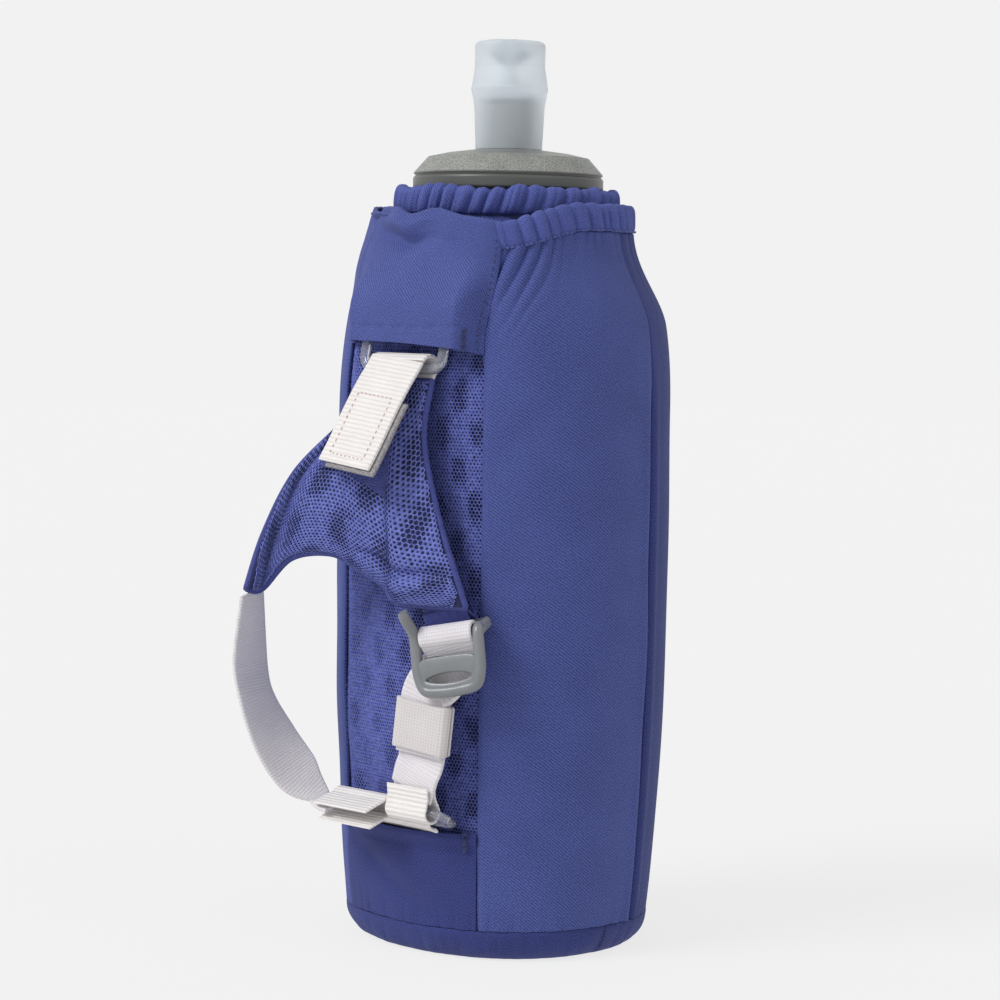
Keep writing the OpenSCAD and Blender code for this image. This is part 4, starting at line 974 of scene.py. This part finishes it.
# %% Rings
def flat_ring(name, node, body, x, pivot, way, wide, drop):
    """Flat clear ring: a rounded rectangle whose first bar lies on the pivot and whose second lies drop
    further on. way is the direction of that step in the plane of y and z."""
    half, corner = wide / 2 + 1.5, 3.0
    a = np.radians(np.linspace(0, 90, 9))
    c, s = np.cos(a), np.sin(a)
    quarter = np.stack([half - corner + corner * c, drop / 2 - corner + corner * s], -1)
    loop = np.concatenate([quarter, (quarter * [-1, 1])[::-1], quarter * [-1, -1], (quarter * [1, -1])[::-1]])
    fine = [np.linspace(p, q, 6, endpoint=False) for p, q in zip(loop, np.roll(loop, -1, 0))]
    loop = np.concatenate(fine)
    down = drop / 2 - loop[:, 1]
    path = np.stack([x + loop[:, 0], pivot[0] + way[0] * down, pivot[1] + way[1] * down], -1)
    inward = unit(np.stack([-np.sign(loop[:, 0]) * np.clip(np.abs(loop[:, 0]) - half + corner, 0, None),
                            -np.sign(loop[:, 1]) * np.clip(np.abs(loop[:, 1]) - drop / 2 + corner, 0, None)], -1))
    side = np.stack([inward[:, 0], -inward[:, 1] * way[0], -inward[:, 1] * way[1]], -1)
    width = mix(2.4, 2.8, np.clip(down / drop, 0, 1))
    width = np.where(np.abs(loop[:, 0]) > half - 0.6, 3.0, width)
    grid, faces, _ = sweep(path, -side, width, 2.2, closed=True)
    piece(name, grid, faces, clear_plastic, body, None, [node], 50)


lean = math.radians(11.5)
RING_WAY = (-math.sin(lean), -math.cos(lean))
BAR = (RING_Y + 11.6 * RING_WAY[0], RING_Z + 11.6 * RING_WAY[1])
flat_ring("clear_ring", "upper_ring", "ring", RING_X, (RING_Y, RING_Z), RING_WAY, 25.8, 11.6)

LOW_Y, LOW_Z, LOW_X = -38.02, 36.0, 2.75
tilt = math.radians(30)
LOW_WAY = (-math.cos(tilt), math.sin(tilt))
LOW_BAR = (LOW_Y + 6.4 * LOW_WAY[0], LOW_Z + 6.4 * LOW_WAY[1])
flat_ring("low_ring", "lower_ring", "lower_ring", LOW_X, (LOW_Y, LOW_Z), LOW_WAY, 37.1, 6.4)


# %% Ribbon that holds the ring, and the pull tab
def arc_at(x, centre, radius, low, high, steps):
    """Arc in the plane of y and z: centre plus radius times (cos a, sin a)."""
    a = np.radians(np.linspace(low, high, steps))
    return np.stack([x + 0 * a, centre[0] + radius * np.cos(a), centre[1] + radius * np.sin(a)], -1)


X_SIDE = np.array([1.0, 0, 0])
wrap = 1.777 + 0.35
back_y = -37.1
path = np.concatenate([[(RING_X, back_y + 0.45, RING_Z + 10)], [(RING_X, back_y + 0.45, RING_Z + 5)],
                       arc_at(RING_X, (RING_Y, RING_Z), wrap, 0, -180, 24),
                       [(RING_X, back_y - 0.45, RING_Z + 6)], [(RING_X, back_y - 0.4, RING_Z + 10)]])
ribbon("ring_ribbon", curve(path, 3), -X_SIDE, 20, 0.7, grosgrain, "grosgrain", "sleeve", ["ring_anchor"],
       "folded", ["clear_ring"])

TAB_X, SLOPE, LOOP_R = 4.0, 30.0, 3.25
PAD_TOP, PAD_BACK = BAR[1] - 3.2, BAR[0] + 0.3
slope = math.radians(SLOPE)
FLAP_ROOT = (BAR[0] - LOOP_R * math.cos(slope), BAR[1] + LOOP_R * math.sin(slope))
FLAP_WAY = (-math.sin(slope), -math.cos(slope))
path = np.concatenate([[(TAB_X, PAD_BACK + 0.1, PAD_TOP - 2.4)], [(TAB_X, PAD_BACK + 0.5, PAD_TOP + 0.4)],
                       arc_at(TAB_X, BAR, LOOP_R, 12, 180 - SLOPE - 6, 30)])
ribbon("tab_ribbon", curve(path, 3), -X_SIDE, 20, 1.1, grosgrain, "grosgrain", "pad", ["tab_loop"], "folded",
       ["clear_ring"])

s = np.linspace(-0.9, 30, 90)
bent = math.atan(3.2 / 30) * np.clip(s / 12, 0, 1)
wave = 0.35 * np.sin(s / 30 * np.pi * 1.6) * ease(s / 6)
path = np.stack([TAB_X - 3.2 * s / 30, FLAP_ROOT[0] + s * FLAP_WAY[0] - wave * math.cos(slope),
                 FLAP_ROOT[1] + s * FLAP_WAY[1] + wave * math.sin(slope)], -1)
side = np.stack([-np.cos(bent), -np.sin(bent) * FLAP_WAY[0], -np.sin(bent) * FLAP_WAY[1]], -1)
ribbon("flap_ribbon", path, side, 20, 1.1, grosgrain, "grosgrain", "flap", ["tab_flap"], "hung", ["tab_ribbon"],
       ends=0.5)
front_way = np.array([0, -math.cos(slope), math.sin(slope)])
hook = path[30:] - front_way * 1.25 + np.array([1.5, FLAP_WAY[0] * 1.2, FLAP_WAY[1] * 1.2])
corner = [(10.5, -6.6), (10.5, 6.6), (27.8, 6.6), (27.8, -6.6), (10.5, -6.6)]
box = np.concatenate([np.linspace(p, q, 40, endpoint=False) for p, q in zip(corner, corner[1:])])
box_line = along_line(box[:, 0], s, path) + box[:, 1:] * side[60] + front_way * 0.5
stitches("flap_stitches", box_line, front_way + 0 * box_line, 1.1, 0.55, 0.16, tan_thread, "flap")
ribbon("hook_pad", hook, side[30:], 19.2, 1.25, hook_tape, "hook", "flap", ["hook_patch"], ends=0.4)

# %% [markdown]
# ## The hand pad
# The pad is foam between a mesh face and a smooth lining, cut to an arch that spreads from the tab to its
# two ends. Its middle surface is a patch between four edges: the mean of the edges' curves, less the flat
# patch through the corners, with a bulge away from the sleeve.

# %% The pad's formula
REACH, OUT, PAD_H = 28.0, 25.6, 53.0
LEFT_EDGE = np.array([[-0.98, 1, 1.03], [-0.957, 0.79, 0.76], [-0.76, 0.57, 0.462], [-0.38, 0.27, 0.2],
                      [-0.3, 0, 0]])
RIGHT_EDGE = np.array([[1.01, 0.03, 1.06], [0.93, 0.07, 0.93], [0.69, 0.09, 0.634], [0.51, 0.11, 0.274],
                       [0.5, 0, 0]])
FOOT_EDGE = np.array([[-0.98, 1, 1.03], [-0.97, 0.8, 1.035], [-0.71, 0.66, 0.878], [-0.29, 0.54, 0.842],
                      [-0.04, 0.42, 0.905], [0.22, 0.32, 0.98], [0.37, 0.246, 1.06], [1.01, 0.03, 1.06]])
KNOTS = np.array([0, 0.18, 0.34, 0.5, 0.62, 0.72, 0.78, 1])


def in_mm(p):
    """Point of the pad from its shares of the pad's reach, its stand-off and its height."""
    return np.stack([p[..., 0] * REACH, PAD_BACK - p[..., 1] * OUT, PAD_TOP - p[..., 2] * PAD_H], -1)


def pad(u, v):
    """Middle surface of the pad: u from left to right, v from the foot to the top."""
    u, v = np.broadcast_arrays(np.asarray(u, float), np.asarray(v, float))
    reach = np.minimum(0.07, np.minimum(u, 1 - u))
    at = sum(np.interp(u + reach * d, KNOTS, np.arange(8)) for d in np.linspace(-1, 1, 9)) / 9
    foot = in_mm(spline_at(FOOT_EDGE, at))
    head = in_mm(mix(LEFT_EDGE[4], RIGHT_EDGE[4], u[..., None]))
    left, right = in_mm(spline_at(LEFT_EDGE, v * 3.9999)), in_mm(spline_at(RIGHT_EDGE, v * 3.9999))
    a, b = in_mm(FOOT_EDGE[0]), in_mm(FOOT_EDGE[7])
    c, d = in_mm(LEFT_EDGE[4]), in_mm(RIGHT_EDGE[4])
    U, V = u[..., None], v[..., None]
    patch = mix(foot, head, V) + mix(left, right, U) - mix(mix(a, b, U), mix(c, d, U), V)
    bulge = 2 * 4 * u * (1 - u) * np.sin(np.pi * np.clip(v, 0, 1)) ** 1.5
    return patch - np.stack([0 * u, bulge, 0 * u], -1)


def pad_out(u, v, out):
    """Point of the pad, out millimetres in front of its middle surface."""
    e = 0.02
    a, b = np.clip(u, 0, 1 - e), np.clip(v, 0, 1 - e)
    n = unit(np.cross(pad(a + e, b) - pad(a, b), pad(a, b + e) - pad(a, b)))
    return pad(u, v) + n * np.asarray(out)[..., None]


def pad_relief(u, v):
    """Creases of the pad, in millimetres: one across its right arm and a slow unevenness."""
    line = v - 0.2 - 0.3 * (u - 0.7)
    crease = 0.9 * hill(line, -0.075, 0.05) - 2.1 * hill(line, 0, 0.034)
    crease = crease * ease((u - 0.58) / 0.1) * (1 - ease((u - 0.88) / 0.1))
    return crease + 0.3 * swell(u * 50, v * 50, 22, 31)


NET_WIDE, NET_TALL = 64, 48


def plumpness(u, v):
    """0 at the pad's edge and 1 inside it, by a quarter circle 1.6 mm wide."""
    edge = np.minimum(np.minimum(u, 1 - u) * 45, np.minimum(v, 1 - v) * NET_TALL)
    return np.sqrt(1 - (1 - np.clip(edge / 1.6, 0, 1)) ** 2)


def pad_map(u, v):
    """Cloth map of the pad, whose sides are about 50 mm long."""
    return np.stack([u * 50 + 0 * v, v * 50 + 0 * u], -1)


rows, columns = 150, 120
us, vs = spaced(rows, 0.8)[:, None], spaced(columns, 0.8)[None, :]
plump = plumpness(us, vs)
relief = pad_relief(us, vs) * plump
front = pad_out(us, vs, 0.15 + 1.05 * plump + relief)
rear = pad_out(us, vs, -0.15 - 0.95 * plump + relief * 0.6)
count = rows * columns
rim = np.concatenate([np.arange(rows) * columns, (rows - 1) * columns + np.arange(1, columns),
                      np.arange(rows - 2, -1, -1) * columns + columns - 1, np.arange(columns - 2, 0, -1)])
bridge = np.stack([rim, np.roll(rim, -1), np.roll(rim, -1) + count, rim + count], -1)[:, ::-1]
faces = np.concatenate([grid_faces(rows, columns), grid_faces(rows, columns)[:, ::-1] + count, bridge])
uv = pad_map(us, vs)
pad_cushion = piece("pad_cushion", np.concatenate([front.reshape(-1, 3), rear.reshape(-1, 3)]), faces,
                    fastener_pile, "pad", np.concatenate([uv.reshape(-1, 2)] * 2), ["pad_mesh", "pad_foam"])
pad_sheet = pad_out(us, vs, -0.45 - 0.95 * plump + relief * 0.6)
pad_lining = piece("pad_lining_cloth", pad_sheet[::-1], grid_faces(rows, columns), lining_knit, "pad",
                   uv[::-1], ["pad_lining"], None, 0.4)
declare(pad_lining, 58, 54)

v_table = np.linspace(0, 1, 60)
width_table = np.linalg.norm(np.diff(pad(np.linspace(0, 1, 60)[:, None], v_table[None]), axis=0), axis=-1).sum(0)


def pad_shares(flat):
    """Shares u and v of the pad at flat points of its net."""
    v = flat[:, 1] / NET_TALL
    return (flat[:, 0] - NET_WIDE / 2) / np.interp(v, v_table, width_table) + 0.5, v


def on_pad(flat, sunk):
    u, v = pad_shares(flat)
    plump = plumpness(u, v)
    return pad_out(u, v, 0.55 + 1.05 * plump + pad_relief(u, v) * plump + sunk)


def inside_pad(flat):
    u, v = pad_shares(flat)
    return (u > 0.012) & (u < 0.988) & (v > 0.012) & (v < 0.995)


net("pad_net", NET_WIDE, NET_TALL, on_pad, lambda p: 0.4 + 0.32 * spots(p, 13, 11, 6), pad_yarn, "pad", 0.2,
    inside_pad)
loop = np.linspace(0, 1, 90)
outline = np.concatenate([pad(loop, 0 * loop)[:-1], pad(1 + 0 * loop, loop)[:-1], pad(1 - loop, 1 + 0 * loop)[:-1],
                          pad(0 * loop, 1 - loop)[:-1]])
inside = unit(pad(np.full(1, 0.45), np.full(1, 0.6)) - outline)
ribbon("pad_binding", outline, inside, 1.5, 1.7, lining_knit, "lining", "pad", (), closed=True)
patch_u, patch_v = np.linspace(0.36, 0.76, 50)[:, None], np.linspace(0.5, 0.69, 50)[None, :]
loop_grid = pad_out(patch_u, patch_v, 2.55 + 0 * patch_u * patch_v)
piece("loop_pad", loop_grid, grid_faces(50, 50), loop_pile, "pad", pad_map(patch_u, patch_v),
      ["loop_patch"], None, 0.7)

# %% [markdown]
# ## The elastic straps
# Both straps start at the lower ring, which stays with the sleeve, and end on the pad, which swings.

# %% Left strap
LEFT_TIP, LEFT_LOOP_X = pad(np.zeros(1), np.zeros(1))[0], LOW_X - 7.75


def lip_at(rise, out):
    """Middle of an end loop's lips, out millimetres from the lower ring's outer bar."""
    a = math.radians(rise)
    return np.array([LOW_BAR[0] - out * math.cos(a), LOW_BAR[1] + out * math.sin(a)])


tuck = lip_at(-20, 6)
entry = LEFT_LOOP_X - 10
route = [(LEFT_TIP[0] - 0.76, LEFT_TIP[1] + 2.6, LEFT_TIP[2] - 1), (-31.6, -60.6, 75), (-29.8, -59.5, 64.4),
         (-26.2, -56.2, 54), (-21.4, -52.4, 45.2), (entry - 2.6, tuck[0], tuck[1] + 3.1),
         (entry, tuck[0], tuck[1] + 0.7), (entry + 3.6, tuck[0], tuck[1])]
sides = [(-3.5, 12, -1), (-4, 14.4, -1.2), (-3, 14.6, -1.2), (1, 14, -0.8), (5, 13.5, 0.6), (0.7, 3.4, 1.4),
         (0.2, 3.4, 1.2), (0, 3.4, 1.2)]
widths = [(9.6,), (15,), (15,), (15,), (12.9,), (7.2,), (5.2,), (5,)]
strap_left = ribbon("strap_left", curve(route, 24), -curve(unit(sides), 24), curve(widths, 24)[:, 0], 1.2, elastic,
                    "elastic", None, ["left_strap"], "stretched", ["lip_left"], ends=0.4)
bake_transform(strap_left)

# %% [markdown]
# The right strap goes up through its keeper, round the bar of the buckle and back down as a tail.

# %% Buckle's frame and the right strap
waist = float(girth(84.0))
buckle_y = -(HALF_D * waist) * (1 - (20.6 / (HALF_W * waist)) ** SQUARE) ** (1 / SQUARE) - 5.6
BUCKLE = np.array([24.2, buckle_y, PAD_TOP - PAD_H - 10.533])
yaw, tip, roll_in = math.radians(20), math.radians(-5), math.radians(-11)
turned_by = Matrix.Rotation(yaw, 3, "Z") @ Matrix.Rotation(roll_in, 3, "Y") @ Matrix.Rotation(tip, 3, "X")
BUCKLE_TURN = np.array(turned_by)


def from_buckle(p):
    """Point of the sleeve's frame from one of the buckle's own frame, whose origin is its strap bar."""
    return BUCKLE + np.asarray(p, float) @ BUCKLE_TURN.T


def round_bar(x, y, z, radius, angles):
    """Points round a bar of the buckle, at angles in degrees."""
    return [from_buckle([x, y + radius * math.cos(math.radians(a)), z + radius * math.sin(math.radians(a))])
            for a in angles]


RIGHT_LOOP_X = LOW_X + 10.25
foot_yz = lip_at(84, 4.7)
right_foot = np.array([RIGHT_LOOP_X, foot_yz[0], foot_yz[1]])
KEEPER = np.array([16.8, -43.2, BUCKLE[2] - 23.7])
WAY = unit([1.4, 0.4, 14])
hint = np.array([math.cos(math.radians(6)), math.sin(math.radians(6)), 0])
KEEPER_SIDE = unit(hint - WAY * (hint @ WAY))
KEEPER_OUT = np.cross(KEEPER_SIDE, WAY)
BAR_SIDE = BUCKLE_TURN[:, 0]
STEP = 1.4
low, high = KEEPER - WAY * 7.4, KEEPER + WAY * 7.4
WRAP_R = 1.6 + 0.3 + 0.6
behind, tail = from_buckle([0, WRAP_R + 0.1, -5]), from_buckle([0, 0.95, -5.8])
around = round_bar(0, 0, 0, WRAP_R, range(0, 241, 20))
knots = [right_foot, mix(right_foot, low, 0.5) + [0.2, -0.3, 0], low, high, mix(high, behind, 0.5), behind, *around,
         tail, mix(high + KEEPER_OUT * STEP, tail, 0.5), high + KEEPER_OUT * STEP, low + KEEPER_OUT * STEP]
turned = [(1, 0, 0), mix(X_SIDE, KEEPER_SIDE, 0.5), KEEPER_SIDE, KEEPER_SIDE, mix(KEEPER_SIDE, BAR_SIDE, 0.5),
          BAR_SIDE, *[BAR_SIDE] * len(around), BAR_SIDE, mix(BAR_SIDE, KEEPER_SIDE, 0.6), KEEPER_SIDE, KEEPER_SIDE]
strap_right = ribbon("strap_right", curve(knots, 10), curve(turned, 10), 15, 1.2, elastic, "elastic", None,
                     ["right_strap"], "folded", ["buckle_frame"], ends=0.4)
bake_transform(strap_right)

# %% Keeper
a = np.radians(np.linspace(0, 360, 120, endpoint=False))
box = np.stack([signed(np.cos(a), 0.28) * 8.2, signed(np.sin(a), 0.5) * 2.05], -1)
middle = KEEPER + KEEPER_OUT * STEP / 2
path = middle + box[:, :1] * KEEPER_SIDE + box[:, 1:] * KEEPER_OUT
height = 12.8 + 0.25 * np.sin(3 * a)
ribbon("keeper_band", path, WAY, height, 0.9, keeper_knit, "elastic", "keeper", ["strap_keeper"], "folded",
       ["strap_right"], closed=True)


# %% End loops and the ribbon of the lower ring
def end_loop(name, x, wide, rise, gap, long, nodes):
    """Ribbon round the lower ring's outer bar, whose two lips close on a strap's end."""
    a = math.radians(rise)
    away = np.array([math.sin(a), math.cos(a)])
    lips = [np.array([x, *(lip_at(rise, out) + side * gap * away)])
            for out, side in ((long, 1), (3.8, 1), (3.8, -1), (long, -1))]
    first, second = (curve([p, mix(p, q, 0.5), q], 6) for p, q in (lips[:2], lips[2:]))
    path = np.concatenate([first, arc_at(x, LOW_BAR, 2.48, 125 - rise, -125 - rise, 40), second])
    ribbon(name, path, -X_SIDE, wide, 0.7, grosgrain, "grosgrain", "lower_ring", nodes, "folded", ["low_ring"],
           ends=0.3)


end_loop("lip_left", LEFT_LOOP_X, 20, -20, 2.3, 8.6, ["left_end_loop"])
end_loop("lip_right", RIGHT_LOOP_X, 15, 84, 1.25, 6.6, ["right_end_loop"])
behind_y = -36.75
path = np.concatenate([[(LOW_X, behind_y - 0.3, LOW_Z + 4.4)], arc_at(LOW_X, (LOW_Y, LOW_Z), wrap, 80, 280, 24),
                       [(LOW_X, behind_y - 0.2, LOW_Z - 2.9)]])
ribbon("foot_ribbon", curve(path, 3), -X_SIDE, 26, 0.7, grosgrain, "grosgrain", "sleeve", ["lower_anchor"],
       "folded", ["low_ring"])

# %% [markdown]
# ## The buckle
# The buckle is one grey moulding. A U-shaped tube makes its cheeks and foot, a round bar carries the strap,
# and a plate with a lens-shaped slot grips the tail. Two arms reach back to the bar that the pad's tongue
# wraps.

# %% Buckle
def tube(points, radius):
    """Round tube through points of the buckle's own frame."""
    line = from_buckle(curve(points, 12))
    grid, faces, _ = sweep(line, BUCKLE_TURN[:, 1], radius * 2, radius * 2, ends=radius * 0.8)
    return grid, faces


frame_line = [(-8.85, -6.4, 7.2), (-8.85, -5.6, 5.4), (-8.85, -3.4, 3.2), (-8.85, -1.6, 0.6), (-8.85, -1.7, -4),
              (-8.7, -2, -9), (-7.2, -2.1, -13), (-3, -2.3, -13.9), (3, -2.3, -13.9), (7.2, -2.1, -13),
              (8.7, -2, -9), (8.85, -1.7, -4), (8.85, -1.2, 0), (8.85, 0.2, 1.4)]
parts = [tube(frame_line, 1.5), tube([(-8.7, 0, 0), (0, 0, 0), (8.7, 0, 0)], 1.6),
         tube([(-8.7, 5, 2.4), (0, 5, 2.4), (8.7, 5, 2.4)], 1.1)]
parts += [tube([(x, 5, 2.4), (x, 2.5, 1.4), (x, -0.7, 0)], 1.4) for x in (-8.85, 8.85)]
a = np.radians(np.linspace(0, 360, 121)[:-1])
outer_x, outer_z = 8.8 * signed(np.cos(a), 0.4), -9.4 + 4.4 * signed(np.sin(a), 0.5)
lens_x, lens_z = 6.4 * np.cos(a), -10.6 + 1.3 * np.sin(a) * (1 - 0.25 * np.cos(a) ** 2)
share = np.array([0, 0.03, 0.1, 0.5, 0.9, 0.97, 1.0])
bend_y = np.array([0.35, 0.75, 0.9, 0.9, 0.9, 0.75, 0.35])
top = np.stack([mix(outer_x[:, None], lens_x[:, None], share), -2.1 - bend_y + 0 * outer_x[:, None],
                mix(outer_z[:, None], lens_z[:, None], share)], -1)
bottom = top[:, ::-1].copy()
bottom[..., 1] = -4.2 - bottom[..., 1]
plate = np.concatenate([top, bottom], 1)
parts.append((from_buckle(plate), grid_faces(120, 14, True, True).tolist()))
joined("buckle_frame", parts, buckle_plastic, "buckle", ["buckle"])

tongue_r = 1.1 + 0.3 + 0.4
tongue_top = pad(np.array([0.9]), np.array([0.0]))[0] + [0, 0.9, -1.4]
tongue_edge = unit(pad(np.array([1.0]), np.zeros(1))[0] - pad(np.array([0.8]), np.zeros(1))[0])
around = round_bar(-0.7, 5, 2.4, tongue_r, np.linspace(100, -138, 13))
path = [tongue_top + [0, -0.2, 1.4], *around, tongue_top + [0, 0.6, 0.6]]
edges = [tongue_edge, *[BAR_SIDE] * len(around), tongue_edge]
tongue = ribbon("tongue", curve(path, 6), curve(edges, 6), 12.6, 0.8, lining_knit, "lining", None, ["pad_tongue"],
                "folded", ["buckle_frame"])
tuple(tongue_top * MM)
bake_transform(tongue)

# %% [markdown]
# ## Finishes on the solids that stay
# The cap and the valve are turned shapes and true as solids already. They, the film, the seal, the threaded
# neck and the hidden bands keep their shapes and take a finish.

# %% Finishes
kept = {"liner": inner_cloth, "neck_elastic": lining_knit, "pocket_elastic": lining_knit, "flask_film": film_plastic,
        "neck_collar": collar_plastic, "cap_seal": seal_rubber, "screw_cap": cap_plastic, "bite_valve": silicone}
for node, finish in kept.items():
    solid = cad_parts[node]
    if not solid.hide_render:
        solid.data.materials.clear()
        solid.data.materials.append(finish)

# %% [markdown]
# ## Light and floor
# A white table and two broad suns. The sky is pale for the camera and dimmer as a light.

# %% Stage
stage_mesh = bpy.data.meshes.new("table")
stage_mesh.from_pydata([(-3, -3, 0), (3, -3, 0), (3, 3, 0), (-3, 3, 0)], [], [(0, 1, 2, 3)])
table_top = bpy.data.objects.new("table", stage_mesh)
bpy.context.scene.collection.objects.link(table_top)
table_paint = Finish("table_paint", (0.88, 0.88, 0.88, 1), 0.9)
glow = table_paint.node("Emission", {}, {"Color": (1, 1, 1, 1), "Strength": 0.893})
lit = Wire(table_paint, table_paint.shader.outputs[0])
output = next(n for n in table_paint.tree.nodes if n.type == "OUTPUT_MATERIAL")
table_paint.join(table_paint.node("MixShader", {}, [0.86, lit, glow]), output.inputs["Surface"])
stage_mesh.materials.append(table_paint.material)


def sun(name, azimuth, elevation, power, soft):
    light = bpy.data.lights.new(name, "SUN")
    light.energy, light.angle = power, math.radians(soft)
    lamp = bpy.data.objects.new(name, light)
    a, e = math.radians(azimuth), math.radians(elevation)
    toward = Vector((math.sin(a) * math.cos(e), -math.cos(a) * math.cos(e), math.sin(e)))
    lamp.rotation_euler = toward.to_track_quat("Z", "Y").to_euler()
    bpy.context.scene.collection.objects.link(lamp)


sun("key", -15, 42, 2.0, 28)
sun("fill", 95, 35, 0.2, 40)
world = bpy.data.worlds.new("sky")
bpy.context.scene.world = world
world.use_nodes = True
nodes, links = world.node_tree.nodes, world.node_tree.links
rays, back = nodes.new("ShaderNodeLightPath"), nodes["Background"]


def larger(a, b):
    """The larger of two values in the sky's tree."""
    made = nodes.new("ShaderNodeMath")
    made.operation = "MAXIMUM"
    links.new(a, made.inputs[0])
    links.new(b, made.inputs[1])
    return made.outputs[0]


direct = larger(rays.outputs["Is Camera Ray"], rays.outputs["Is Glossy Ray"])
direct = larger(direct, rays.outputs["Is Transmission Ray"])
strength = nodes.new("ShaderNodeMapRange")
strength.inputs["To Min"].default_value, strength.inputs["To Max"].default_value = 0.5, 0.887
links.new(direct, strength.inputs["Value"])
links.new(strength.outputs[0], back.inputs["Strength"])
back.inputs["Color"].default_value = (1, 1, 1, 1)
bpy.context.scene.view_settings.view_transform = "Standard"
